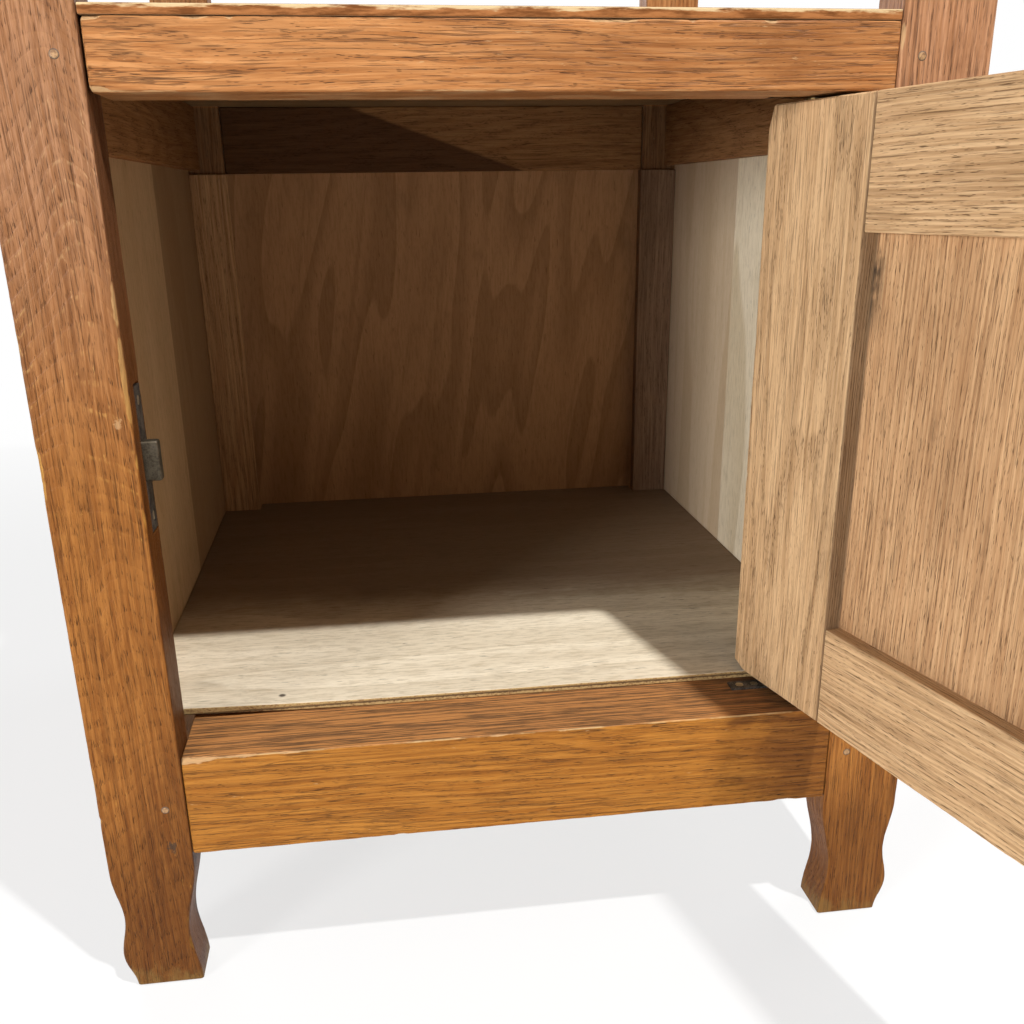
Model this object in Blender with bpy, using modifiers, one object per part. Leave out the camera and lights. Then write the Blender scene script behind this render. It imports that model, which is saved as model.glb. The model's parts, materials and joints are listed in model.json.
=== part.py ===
"""Oak icebox cabinet: a pivot-hung door on the lower cupboard and an open bay above it.

Metres, +Z up. The origin lies on the floor under the middle of the cabinet's plan, and the door
opens towards -Y. The door and its latch are drawn shut and then turned about their pivots.
"""

import math

import bmesh
import bpy
from mathutils import Matrix

# Overall sizes
OPENING_WIDTH = 0.400
OPENING_HEIGHT = 0.3548
BODY_DEPTH = 0.540
BODY_HEIGHT = 1.000
FIT = 0.0003

# Posts and their shaped feet
POST_WIDTH = 0.050
POST_DEPTH = 0.030
OUTER_TOE_INSET = 0.0065
OUTER_BULGE_Z = 0.023
OUTER_BULGE_INSET = 0.0003
OUTER_NECK_Z = 0.050
OUTER_NECK_INSET = 0.0046
OUTER_KNEE_Z = 0.082
INNER_TOE_INSET = 0.0035
INNER_NECK_Z = 0.036
INNER_NECK_INSET = 0.0082
INNER_KNEE_Z = 0.086
FOOT_STEPS = 6

# Rails
BOTTOM_RAIL_Z = 0.0924
BOTTOM_RAIL_HEIGHT = 0.0646
HEADER_HEIGHT = 0.0323
SIDE_RAIL_HEIGHT = 0.054
BACK_RAIL_HEIGHT = 0.0575
UPPER_RAIL_HEIGHT = 0.045
SIDE_RAIL_THICKNESS = 0.026
BACK_RAIL_THICKNESS = 0.024
UPPER_FRONT_THICKNESS = 0.026
FRONT_RAIL_SETBACK = 0.0006
OUTER_RAIL_SETBACK = 0.002
TENON_THICKNESS = 0.010
TENON_SHOULDER = 0.010
TENON_ROOT = 0.004
FRONT_TENON_LENGTH = 0.022
SIDE_TENON_LENGTH = 0.016
PEG_RADIUS = 0.002
PEG_LENGTH = 0.024
PEG_INSET = 0.012
EDGE = 0.0012

# Boards and panels
TOP_THICKNESS = 0.020
TOP_OVERHANG = 0.012
TOP_ROUND = 0.005
FLOOR_THICKNESS = 0.0048
FLOOR_BEARING = 0.011
SHELF_THICKNESS = 0.005
SIDE_PANEL_THICKNESS = 0.006
SIDE_PANEL_INSET = 0.0114
BACK_PANEL_THICKNESS = 0.005
BACK_PANEL_INSET = 0.0097
CLEAT_WIDTH = 0.035
CLEAT_THICKNESS = 0.005
GROOVE_DEPTH = 0.007

# Door, hung on a pivot set in from its hinge edge
DOOR_THICKNESS = 0.022
DOOR_GAP = 0.002
DOOR_TOP_GAP = 0.002
DOOR_FLOOR_CLEARANCE = 0.0008
DOOR_STOP_GAP = 0.0017
DOOR_STILE = 0.0885
DOOR_TOP_RAIL = 0.0662
DOOR_BOTTOM_RAIL = 0.0604
DOOR_PANEL_THICKNESS = 0.006
DOOR_PANEL_RECESS = 0.0095
DOOR_TENON_LENGTH = 0.030
TOP_CORNER_WIDTH = 0.005
TOP_CORNER_HEIGHT = 0.015
BOTTOM_CORNER_WIDTH = 0.013
BOTTOM_CORNER_HEIGHT = 0.0055
PIVOT_INSET = 0.0255
PIVOT_SETBACK = 0.0387
DOOR_OPEN_DEG = 103.7

# Pivot hinges
LEAF_WIDTH = 0.010
LEAF_REACH = 0.027
LEAF_THICKNESS = 0.0015
HINGE_PIN_RADIUS = 0.0025
HINGE_PIN_IN_DOOR = 0.005
LEAF_SCREW_OFFSETS = (0.0105, 0.0205)
LEAF_MARGIN = 0.002

# Countersunk wood screw
SCREW_HEAD_RADIUS = 0.0027
SCREW_HEAD_HEIGHT = 0.0015
SCREW_RADIUS = 0.0013
SCREW_LENGTH = 0.012
SCREW_SLOT_WIDTH = 0.0008
SCREW_SLOT_DEPTH = 0.0006

# Catch on the left post
CATCH_Z = 0.332
CATCH_PLATE_WIDTH = 0.014
CATCH_PLATE_HEIGHT = 0.080
CATCH_PLATE_THICKNESS = 0.0022
CATCH_SCREW_SPACING = 0.064
TONGUE_HEIGHT = 0.022
TONGUE_THICKNESS = 0.007
TONGUE_REACH = 0.0085
TONGUE_ROOT = 0.010
TONGUE_ROUND = 0.0012

# Lever latch on the door
LATCH_INSET = 0.028
LATCH_PLATE_WIDTH = 0.030
LATCH_PLATE_HEIGHT = 0.074
LATCH_PLATE_THICKNESS = 0.0027
LATCH_SCREW_SPACING = 0.056
ARM_THICKNESS = 0.0035
ARM_WIDTH = 0.013
ARM_TIP_GAP = 0.0007
ARM_CATCH_GAP = 0.0004
HUB_RADIUS = 0.0095
HUB_LENGTH = 0.022
HANDLE_LENGTH = 0.078
HANDLE_THICKNESS = 0.008
HANDLE_NECK = 0.006
HANDLE_PALM = 0.010
SPINDLE_RADIUS = 0.0035
SPINDLE_HEAD_RADIUS = 0.0065
SPINDLE_HEAD_HEIGHT = 0.0030
SPINDLE_TAIL = 0.0015
NUT_RADIUS = 0.0075
NUT_THICKNESS = 0.0045
NOTCH_CLEARANCE = 0.0015

# Places that follow from the sizes above
HALF_OPENING = OPENING_WIDTH / 2
HALF_WIDTH = HALF_OPENING + POST_WIDTH
FRONT = -BODY_DEPTH / 2
BACK = BODY_DEPTH / 2
POST_BACK = FRONT + POST_DEPTH
REAR_POST_FRONT = BACK - POST_DEPTH
SILL_TOP = BOTTOM_RAIL_Z + BOTTOM_RAIL_HEIGHT
HEADER_Z = SILL_TOP + OPENING_HEIGHT
MIDDLE_TOP = HEADER_Z + HEADER_HEIGHT
POST_TOP = BODY_HEIGHT - TOP_THICKNESS - FIT
FLOOR_Z = SILL_TOP + FIT
FLOOR_TOP = FLOOR_Z + FLOOR_THICKNESS
SIDE_PANEL_X = HALF_WIDTH - SIDE_PANEL_INSET - SIDE_PANEL_THICKNESS
BACK_PANEL_Y = BACK - BACK_PANEL_INSET - BACK_PANEL_THICKNESS
PIVOT_X = HALF_OPENING - DOOR_GAP - PIVOT_INSET
PIVOT_Y = FRONT + PIVOT_SETBACK
FLOOR_FRONT = PIVOT_Y + DOOR_THICKNESS / 2 + DOOR_STOP_GAP
SILL_DEPTH = FLOOR_FRONT - FRONT + FLOOR_BEARING
HEADER_DEPTH = PIVOT_SETBACK + LEAF_WIDTH / 2 + LEAF_MARGIN

# Door places, measured from the pivot with the door shut
DOOR_Z = FLOOR_TOP + DOOR_FLOOR_CLEARANCE
DOOR_TOP = HEADER_Z - DOOR_TOP_GAP
DOOR_WIDTH = OPENING_WIDTH - 2 * DOOR_GAP
DOOR_FREE_X = PIVOT_INSET - DOOR_WIDTH
DOOR_FACE = -DOOR_THICKNESS / 2
DOOR_REAR = DOOR_THICKNESS / 2
LATCH_X = DOOR_FREE_X + LATCH_INSET
LATCH_PLATE_Y = DOOR_FACE - FIT - LATCH_PLATE_THICKNESS
ARM_Y = LATCH_PLATE_Y - FIT - ARM_THICKNESS
HUB_Y = ARM_Y - HUB_LENGTH
TONGUE_BACK = PIVOT_Y + ARM_Y - ARM_CATCH_GAP
CATCH_Y = TONGUE_BACK - TONGUE_THICKNESS + CATCH_PLATE_WIDTH / 2

ROUND_STEPS = 16


def clear_scene():
    for item in list(bpy.data.objects):
        bpy.data.objects.remove(item, do_unlink=True)


def new_collection(name):
    collection = bpy.data.collections.new(name)
    bpy.context.scene.collection.children.link(collection)
    return collection


clear_scene()
PARTS = new_collection("icebox")
CUTTERS = new_collection("cutters")


def material(name, colour, roughness, metallic=0.0):
    made = bpy.data.materials.new(name)
    made.use_nodes = True
    shader = made.node_tree.nodes["Principled BSDF"]
    shader.inputs["Base Color"].default_value = (*colour, 1.0)
    shader.inputs["Roughness"].default_value = roughness
    shader.inputs["Metallic"].default_value = metallic
    return made


VARNISHED_OAK = material("varnished_oak", (0.33, 0.13, 0.045), 0.45)
RAW_OAK = material("raw_oak", (0.45, 0.27, 0.13), 0.7)
PLYWOOD = material("plywood", (0.55, 0.38, 0.22), 0.75)
BRASS = material("aged_brass", (0.36, 0.25, 0.12), 0.4, 0.9)
STEEL = material("dark_steel", (0.10, 0.09, 0.08), 0.5, 0.9)


def show(name, mesh, finish, parent=None):
    """Adds a sub-part that shows, with its own copy of a finish."""
    item = bpy.data.objects.new(name, mesh)
    PARTS.objects.link(item)
    mesh.materials.clear()
    mesh.materials.append(finish.copy())
    item.parent = parent
    return item


def tool(name, mesh, parent=None):
    """Adds a shape that only cuts, joins or trims others."""
    item = bpy.data.objects.new(name, mesh)
    CUTTERS.objects.link(item)
    item.hide_render = True
    item.display_type = "WIRE"
    item.parent = parent
    return item


def boolean(target, other, operation):
    modifier = target.modifiers.new(f"{operation.lower()}_{other.name}", "BOOLEAN")
    modifier.operation = operation
    modifier.object = other


def bevel(item, width, segments=1):
    modifier = item.modifiers.new("eased_edges", "BEVEL")
    modifier.width = width
    modifier.segments = segments
    modifier.limit_method = "ANGLE"


def box_mesh(name, low, high):
    mesh = bpy.data.meshes.new(name)
    shape = bmesh.new()
    bmesh.ops.create_cube(shape, size=1.0)
    size = [b - a for a, b in zip(low, high)]
    middle = [(a + b) / 2 for a, b in zip(low, high)]
    bmesh.ops.scale(shape, vec=size, verts=shape.verts)
    bmesh.ops.translate(shape, vec=middle, verts=shape.verts)
    shape.to_mesh(mesh)
    shape.free()
    return mesh


def grown(low, high, by=FIT):
    return [a - by for a in low], [b + by for b in high]


def baked(item):
    """The evaluated mesh of a helper object, welded and facing out. The helper is removed."""
    bpy.context.view_layer.update()
    graph = bpy.context.evaluated_depsgraph_get()
    mesh = bpy.data.meshes.new_from_object(item.evaluated_get(graph))
    mesh.name = item.name
    bpy.data.objects.remove(item, do_unlink=True)
    shape = bmesh.new()
    shape.from_mesh(mesh)
    bmesh.ops.remove_doubles(shape, verts=shape.verts, dist=1e-6)
    bmesh.ops.recalc_face_normals(shape, faces=shape.faces)
    shape.to_mesh(mesh)
    shape.free()
    return mesh


def outline_mesh(name, points, thickness, matrix):
    """A flat outline, drawn in its own XY plane and thickened evenly to both sides of it."""
    curve = bpy.data.curves.new(name, "CURVE")
    curve.dimensions = "2D"
    curve.fill_mode = "BOTH"
    curve.extrude = thickness / 2
    spline = curve.splines.new("POLY")
    spline.points.add(len(points) - 1)
    for point, (across, up) in zip(spline.points, points):
        point.co = (across, up, 0.0, 1.0)
    spline.use_cyclic_u = True
    helper = bpy.data.objects.new(name, curve)
    CUTTERS.objects.link(helper)
    mesh = baked(helper)
    mesh.transform(matrix)
    return mesh


def turned_mesh(name, profile, matrix, steps=ROUND_STEPS):
    """A profile of (radius, height) points, top to bottom, turned about its own Z axis."""
    mesh = bpy.data.meshes.new(name)
    points = [(radius, 0.0, height) for radius, height in profile]
    edges = [(i, i + 1) for i in range(len(points) - 1)]
    mesh.from_pydata(points, edges, [])
    helper = bpy.data.objects.new(name, mesh)
    CUTTERS.objects.link(helper)
    screw = helper.modifiers.new("turn", "SCREW")
    screw.steps = steps
    screw.render_steps = steps
    screw.use_merge_vertices = True
    screw.merge_threshold = 1e-6
    mesh = baked(helper)
    mesh.transform(matrix)
    mesh.shade_smooth()
    mesh.set_sharp_from_angle(angle=math.radians(35))
    return mesh


def rod_profile(radius, high, low):
    return [(0.0, high), (radius, high), (radius, low), (0.0, low)]


def arc(centre, radius, start_deg, end_deg, steps):
    points = []
    for i in range(steps + 1):
        angle = math.radians(start_deg + (end_deg - start_deg) * i / steps)
        points.append((centre[0] + radius * math.cos(angle), centre[1] + radius * math.sin(angle)))
    return points


# Outlines lie flat or stand upright facing the front, and turned pieces point along an axis.
FACING_FRONT = Matrix.Rotation(math.radians(90), 4, "X")
TOWARDS_FRONT = Matrix.Rotation(math.radians(90), 4, "X")
TOWARDS_RIGHT = Matrix.Rotation(math.radians(90), 4, "Y")
UPWARDS = Matrix.Identity(4)
DOWNWARDS = Matrix.Rotation(math.radians(180), 4, "X")


def at(place, turn=UPWARDS):
    return Matrix.Translation(place) @ turn


def cut_box(target, name, low, high, parent=None):
    boolean(target, tool(name, box_mesh(name, low, high), parent), "DIFFERENCE")


def cut_rod(target, name, radius, high, low, matrix, parent=None):
    mesh = turned_mesh(name, rod_profile(radius, high, low), matrix)
    boolean(target, tool(name, mesh, parent), "DIFFERENCE")


def foot_edge(*knots):
    """The sawn edge of a foot as (inset, height) points, eased from one knot to the next."""
    points = [knots[0]]
    for (low_inset, low), (high_inset, high) in zip(knots, knots[1:]):
        for i in range(1, FOOT_STEPS + 1):
            share = i / FOOT_STEPS
            eased = (1 - math.cos(math.pi * share)) / 2
            points.append((low_inset + (high_inset - low_inset) * eased, low + (high - low) * share))
    return points


def post_outline(side):
    """A post from the front, about its own middle, its foot sawn differently on each edge."""
    outer = foot_edge(
        (OUTER_TOE_INSET, 0.0),
        (OUTER_BULGE_INSET, OUTER_BULGE_Z),
        (OUTER_NECK_INSET, OUTER_NECK_Z),
        (0.0, OUTER_KNEE_Z),
    )
    inner = foot_edge(
        (INNER_TOE_INSET, 0.0),
        (INNER_NECK_INSET, INNER_NECK_Z),
        (0.0, INNER_KNEE_Z),
    )
    outwards = -1 if side == "left" else 1
    half = POST_WIDTH / 2
    rising = [(outwards * (half - inset), z) for inset, z in outer]
    falling = [(-outwards * (half - inset), z) for inset, z in reversed(inner)]
    return [*rising, (outwards * half, POST_TOP), (-outwards * half, POST_TOP), *falling]


def make_post(name, side, depth):
    across = HALF_OPENING + POST_WIDTH / 2
    place = at((-across if side == "left" else across, depth, 0.0), FACING_FRONT)
    return show(name, outline_mesh(name, post_outline(side), POST_DEPTH, place), VARNISHED_OAK)


def make_posts():
    front = FRONT + POST_DEPTH / 2
    rear = BACK - POST_DEPTH / 2
    posts = {}
    for side in ("left", "right"):
        posts[("front", side)] = make_post(f"front_{side}_post", side, front)
        posts[("back", side)] = make_post(f"rear_{side}_post", side, rear)
    return posts


def rail_span(side, z, height, thickness, setback):
    """The lowest and highest corners of a rail between its two posts, without its tenons."""
    if side in ("front", "back"):
        near = FRONT + setback if side == "front" else BACK - setback - thickness
        low = (-HALF_OPENING + FIT, near, z)
        high = (HALF_OPENING - FIT, near + thickness, z + height)
    else:
        near = setback - HALF_WIDTH if side == "left" else HALF_WIDTH - setback - thickness
        low = (near, POST_BACK + FIT, z)
        high = (near + thickness, REAR_POST_FRONT - FIT, z + height)
    return low, high


def tenon_span(side, end, low, high):
    """The corners of one tenon, from inside the rail to its end inside the post."""
    bottom = low[2] + TENON_SHOULDER
    top = high[2] - TENON_SHOULDER
    half = TENON_THICKNESS / 2
    if side in ("front", "back"):
        depth = (FRONT + POST_BACK) / 2 if side == "front" else (REAR_POST_FRONT + BACK) / 2
        inner = HALF_OPENING - TENON_ROOT
        outer = HALF_OPENING + FRONT_TENON_LENGTH
        across = (-outer, -inner) if end == "left" else (inner, outer)
        return (across[0], depth - half, bottom), (across[1], depth + half, top)
    middle = (low[0] + high[0]) / 2
    if end == "front":
        along = (POST_BACK - SIDE_TENON_LENGTH, POST_BACK + TENON_ROOT)
    else:
        along = (REAR_POST_FRONT - TENON_ROOT, REAR_POST_FRONT + SIDE_TENON_LENGTH)
    return (middle - half, along[0], bottom), (middle + half, along[1], top)


def make_rail(name, side, z, height, thickness, setback, posts, finish=VARNISHED_OAK):
    low, high = rail_span(side, z, height, thickness, setback)
    rail = show(name, box_mesh(name, low, high), finish)
    bevel(rail, EDGE)
    ends = ("left", "right") if side in ("front", "back") else ("front", "back")
    for end in ends:
        corners = tenon_span(side, end, low, high)
        label = f"{name}_{end}"
        boolean(rail, tool(f"{label}_tenon", box_mesh(label, *corners)), "UNION")
        post = posts[(side, end)] if side in ("front", "back") else posts[(end, side)]
        cut_box(post, f"{label}_mortise", *grown(*corners))
    return rail


def make_rails(posts):
    """Four rings of rails: under the floor, round the cupboard's top and under the top board."""
    rails = {}
    side_thickness = {"left": SIDE_RAIL_THICKNESS, "right": SIDE_RAIL_THICKNESS}
    outer = {"back": BACK_RAIL_THICKNESS, **side_thickness}
    middle_height = {"back": BACK_RAIL_HEIGHT, "left": SIDE_RAIL_HEIGHT, "right": SIDE_RAIL_HEIGHT}
    rails["front_bottom"] = make_rail(
        "front_bottom_rail", "front", BOTTOM_RAIL_Z, BOTTOM_RAIL_HEIGHT, SILL_DEPTH,
        FRONT_RAIL_SETBACK, posts,
    )
    rails["front_middle"] = make_rail(
        "front_header_rail", "front", HEADER_Z, HEADER_HEIGHT, HEADER_DEPTH,
        FRONT_RAIL_SETBACK, posts,
    )
    upper_z = POST_TOP - UPPER_RAIL_HEIGHT
    rails["front_upper"] = make_rail(
        "front_upper_rail", "front", upper_z, UPPER_RAIL_HEIGHT, UPPER_FRONT_THICKNESS,
        FRONT_RAIL_SETBACK, posts,
    )
    for side, thickness in outer.items():
        rails[f"{side}_bottom"] = make_rail(
            f"{side}_bottom_rail", side, BOTTOM_RAIL_Z, BOTTOM_RAIL_HEIGHT, thickness,
            OUTER_RAIL_SETBACK, posts,
        )
        height = middle_height[side]
        rails[f"{side}_middle"] = make_rail(
            f"{side}_middle_rail", side, MIDDLE_TOP - height, height, thickness,
            OUTER_RAIL_SETBACK, posts,
        )
        rails[f"{side}_upper"] = make_rail(
            f"{side}_upper_rail", side, upper_z, UPPER_RAIL_HEIGHT, thickness,
            OUTER_RAIL_SETBACK, posts,
        )
    return rails


def make_pegs(posts, rails):
    """Round pegs that pin the tenons of the two front rails at the cupboard."""
    heights = {
        "front_bottom": BOTTOM_RAIL_Z + BOTTOM_RAIL_HEIGHT / 2,
        "front_middle": HEADER_Z + HEADER_HEIGHT / 2,
    }
    for ring, z in heights.items():
        for end, sign in (("left", -1), ("right", 1)):
            name = f"{ring}_{end}_peg"
            place = at((sign * (HALF_OPENING + PEG_INSET), FRONT, z), TOWARDS_FRONT)
            profile = rod_profile(PEG_RADIUS, 0.0, -PEG_LENGTH)
            show(name, turned_mesh(name, profile, place), RAW_OAK)
            for target in (posts[("front", end)], rails[ring]):
                label = f"{name}_hole_in_{target.name}"
                cut_rod(target, label, PEG_RADIUS + FIT, TENON_ROOT, -PEG_LENGTH - FIT, place)


def make_side_panel(side, posts, rails):
    sign = -1 if side == "left" else 1
    faces = sorted((sign * SIDE_PANEL_X, sign * (SIDE_PANEL_X + SIDE_PANEL_THICKNESS)))
    low = (faces[0], POST_BACK - GROOVE_DEPTH, SILL_TOP - GROOVE_DEPTH)
    top = MIDDLE_TOP - SIDE_RAIL_HEIGHT + GROOVE_DEPTH
    high = (faces[1], REAR_POST_FRONT + GROOVE_DEPTH, top)
    name = f"{side}_side_panel"
    show(name, box_mesh(name, low, high), PLYWOOD)
    holders = (posts[("front", side)], posts[("back", side)])
    for holder in (*holders, rails[f"{side}_bottom"], rails[f"{side}_middle"]):
        cut_box(holder, f"{name}_groove_in_{holder.name}", *grown(low, high))


def make_back_panel(posts, rails):
    reach = HALF_OPENING + GROOVE_DEPTH
    low = (-reach, BACK_PANEL_Y, SILL_TOP - GROOVE_DEPTH)
    top = MIDDLE_TOP - BACK_RAIL_HEIGHT + GROOVE_DEPTH
    high = (reach, BACK_PANEL_Y + BACK_PANEL_THICKNESS, top)
    show("back_panel", box_mesh("back_panel", low, high), PLYWOOD)
    holders = (posts[("back", "left")], posts[("back", "right")])
    for holder in (*holders, rails["back_bottom"], rails["back_middle"]):
        cut_box(holder, f"back_panel_groove_in_{holder.name}", *grown(low, high))


def make_cleats(floor):
    """Upright strips on the rear posts' inner faces, from the side rails up past the floor."""
    top = MIDDLE_TOP - max(SIDE_RAIL_HEIGHT, BACK_RAIL_HEIGHT) - FIT
    rear = REAR_POST_FRONT - FIT
    for end, sign in (("left", -1), ("right", 1)):
        across = sorted((sign * (SIDE_PANEL_X - FIT), sign * (SIDE_PANEL_X - CLEAT_WIDTH)))
        low = (across[0], rear - CLEAT_THICKNESS, SILL_TOP + FIT)
        high = (across[1], rear, top)
        name = f"rear_{end}_cleat"
        bevel(show(name, box_mesh(name, low, high), RAW_OAK), EDGE / 2)
        cut_box(floor, f"{name}_notch", *grown(low, high))


def notch_for_posts(board, z, thickness, depths):
    """Cuts a board's corners so that it fits round the posts at these depths."""
    for depth_name, (near, far) in depths.items():
        for end, sign in (("left", -1), ("right", 1)):
            across = sorted((sign * HALF_OPENING, sign * HALF_WIDTH))
            low, high = grown((across[0], near, z), (across[1], far, z + thickness))
            cut_box(board, f"{board.name}_{depth_name}_{end}_notch", low, high)


def make_boards():
    rear = {"rear": (REAR_POST_FRONT, BACK)}
    floor_low = (-SIDE_PANEL_X + FIT, FLOOR_FRONT, FLOOR_Z)
    floor_high = (SIDE_PANEL_X - FIT, BACK_PANEL_Y - FIT, FLOOR_TOP)
    floor = show("floor_board", box_mesh("floor_board", floor_low, floor_high), PLYWOOD)
    notch_for_posts(floor, FLOOR_Z, FLOOR_THICKNESS, rear)

    shelf_z = MIDDLE_TOP + FIT
    side = HALF_WIDTH - OUTER_RAIL_SETBACK
    shelf_low = (-side, FRONT + FRONT_RAIL_SETBACK, shelf_z)
    shelf_high = (side, BACK - OUTER_RAIL_SETBACK, shelf_z + SHELF_THICKNESS)
    shelf = show("shelf_board", box_mesh("shelf_board", shelf_low, shelf_high), PLYWOOD)
    notch_for_posts(shelf, shelf_z, SHELF_THICKNESS, {"front": (FRONT, POST_BACK), **rear})

    reach = HALF_WIDTH + TOP_OVERHANG
    top_low = (-reach, FRONT - TOP_OVERHANG, BODY_HEIGHT - TOP_THICKNESS)
    top_high = (reach, BACK + TOP_OVERHANG, BODY_HEIGHT)
    top = show("top_board", box_mesh("top_board", top_low, top_high), VARNISHED_OAK)
    bevel(top, TOP_ROUND, 3)
    return floor


def pivot(name, place, turn, parent=None):
    empty = bpy.data.objects.new(name, None)
    PARTS.objects.link(empty)
    empty.location = place
    empty.rotation_euler = turn
    empty.parent = parent
    return empty


def stile_outline(low_x, high_x):
    """The hinge stile seen from the front, with its two corners cut back at the hinge edge."""
    return [
        (low_x, DOOR_Z),
        (high_x - BOTTOM_CORNER_WIDTH, DOOR_Z),
        (high_x, DOOR_Z + BOTTOM_CORNER_HEIGHT),
        (high_x, DOOR_TOP - TOP_CORNER_HEIGHT),
        (high_x - TOP_CORNER_WIDTH, DOOR_TOP),
        (low_x, DOOR_TOP),
    ]


def make_door_frame(door):
    """Two stiles, two tenoned rails and the panel that they hold."""
    inner_hinge = PIVOT_INSET - DOOR_STILE
    inner_latch = DOOR_FREE_X + DOOR_STILE
    hinge_mesh = outline_mesh(
        "door_hinge_stile", stile_outline(inner_hinge, PIVOT_INSET), DOOR_THICKNESS, FACING_FRONT
    )
    stiles = {"hinge": show("door_hinge_stile", hinge_mesh, RAW_OAK, door)}
    latch_low = (DOOR_FREE_X, DOOR_FACE, DOOR_Z)
    latch_high = (inner_latch, DOOR_REAR, DOOR_TOP)
    latch_mesh = box_mesh("door_latch_stile", latch_low, latch_high)
    stiles["latch"] = show("door_latch_stile", latch_mesh, RAW_OAK, door)
    for stile in stiles.values():
        bevel(stile, EDGE)

    spans = {
        "door_bottom_rail": (DOOR_Z, DOOR_Z + DOOR_BOTTOM_RAIL),
        "door_top_rail": (DOOR_TOP - DOOR_TOP_RAIL, DOOR_TOP),
    }
    half = DOOR_PANEL_THICKNESS / 2
    panel_middle = DOOR_REAR - DOOR_PANEL_RECESS - half
    rails = {}
    for name, (bottom, top) in spans.items():
        low = (inner_latch + FIT, DOOR_FACE, bottom)
        high = (inner_hinge - FIT, DOOR_REAR, top)
        rails[name] = show(name, box_mesh(name, low, high), RAW_OAK, door)
        bevel(rails[name], EDGE)
        ends = {
            "latch": (inner_latch - DOOR_TENON_LENGTH, inner_latch + TENON_ROOT),
            "hinge": (inner_hinge - TENON_ROOT, inner_hinge + DOOR_TENON_LENGTH),
        }
        for end, (near, far) in ends.items():
            low = (near, panel_middle - half, bottom + TENON_SHOULDER)
            high = (far, panel_middle + half, top - TENON_SHOULDER)
            label = f"{name}_{end}"
            boolean(rails[name], tool(f"{label}_tenon", box_mesh(label, low, high), door), "UNION")
            cut_box(stiles[end], f"{label}_mortise", *grown(low, high), door)

    bottom = spans["door_bottom_rail"][1] - GROOVE_DEPTH
    top = spans["door_top_rail"][0] + GROOVE_DEPTH
    low = (inner_latch - GROOVE_DEPTH, panel_middle - half, bottom)
    high = (inner_hinge + GROOVE_DEPTH, panel_middle + half, top)
    show("door_panel", box_mesh("door_panel", low, high), RAW_OAK, door)
    for holder in (*stiles.values(), *rails.values()):
        cut_box(holder, f"door_panel_groove_in_{holder.name}", *grown(low, high), door)
    return stiles


def screw_profile(gap=0.0):
    """Head up at height 0, shank downwards. A gap makes the hole that the screw sits in."""
    return [
        (0.0, gap),
        (SCREW_HEAD_RADIUS + gap, gap),
        (SCREW_HEAD_RADIUS + gap, -gap),
        (SCREW_RADIUS + gap, -SCREW_HEAD_HEIGHT - gap),
        (SCREW_RADIUS + gap, -SCREW_LENGTH - gap),
        (0.0, -SCREW_LENGTH - gap),
    ]


def make_screw(name, matrix, holders, parent=None):
    """One slotted screw, head towards the matrix's own +Z, and its hole in each holder."""
    item = show(name, turned_mesh(name, screw_profile(), matrix, 12), BRASS, parent)
    slot = box_mesh(
        f"{name}_slot",
        (-2 * SCREW_HEAD_RADIUS, -SCREW_SLOT_WIDTH / 2, -SCREW_SLOT_DEPTH),
        (2 * SCREW_HEAD_RADIUS, SCREW_SLOT_WIDTH / 2, SCREW_SLOT_DEPTH),
    )
    slot.transform(matrix)
    boolean(item, tool(f"{name}_slot", slot, parent), "DIFFERENCE")
    for holder in holders:
        label = f"{name}_hole_in_{holder.name}"
        hole = turned_mesh(label, screw_profile(FIT), matrix, 12)
        boolean(holder, tool(label, hole, parent), "DIFFERENCE")


def leaf_outline(gap=0.0):
    """A hinge leaf from above, its round end on the pivot and its length along -X."""
    half = LEAF_WIDTH / 2 + gap
    reach = LEAF_REACH + gap
    return [*arc((0.0, 0.0), half, -90, 90, 8), (-reach, half), (-reach, -half)]


def make_leaf(name, z, screws_up, let_in, carrier, parent):
    """One leaf with its lower face at z. Its screws go up or down into the carrier."""
    centre = (0.0, 0.0) if parent else (PIVOT_X, PIVOT_Y)
    place = at((*centre, z + LEAF_THICKNESS / 2))
    leaf = show(name, outline_mesh(name, leaf_outline(), LEAF_THICKNESS, place), STEEL, parent)
    hole = at((*centre, z))
    cut_rod(
        leaf, f"{name}_pin_hole", HINGE_PIN_RADIUS + FIT, 2 * LEAF_THICKNESS, -LEAF_THICKNESS,
        hole, parent,
    )
    if let_in:
        label = f"{name}_recess"
        recess = outline_mesh(label, leaf_outline(FIT), LEAF_THICKNESS + 2 * FIT, place)
        boolean(carrier, tool(label, recess, parent), "DIFFERENCE")
    head_z = z if screws_up else z + LEAF_THICKNESS
    turn = DOWNWARDS if screws_up else UPWARDS
    for number, offset in enumerate(LEAF_SCREW_OFFSETS, 1):
        matrix = at((centre[0] - offset, centre[1], head_z), turn)
        make_screw(f"{name}_screw_{number}", matrix, (leaf, carrier), parent)
    return leaf


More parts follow.
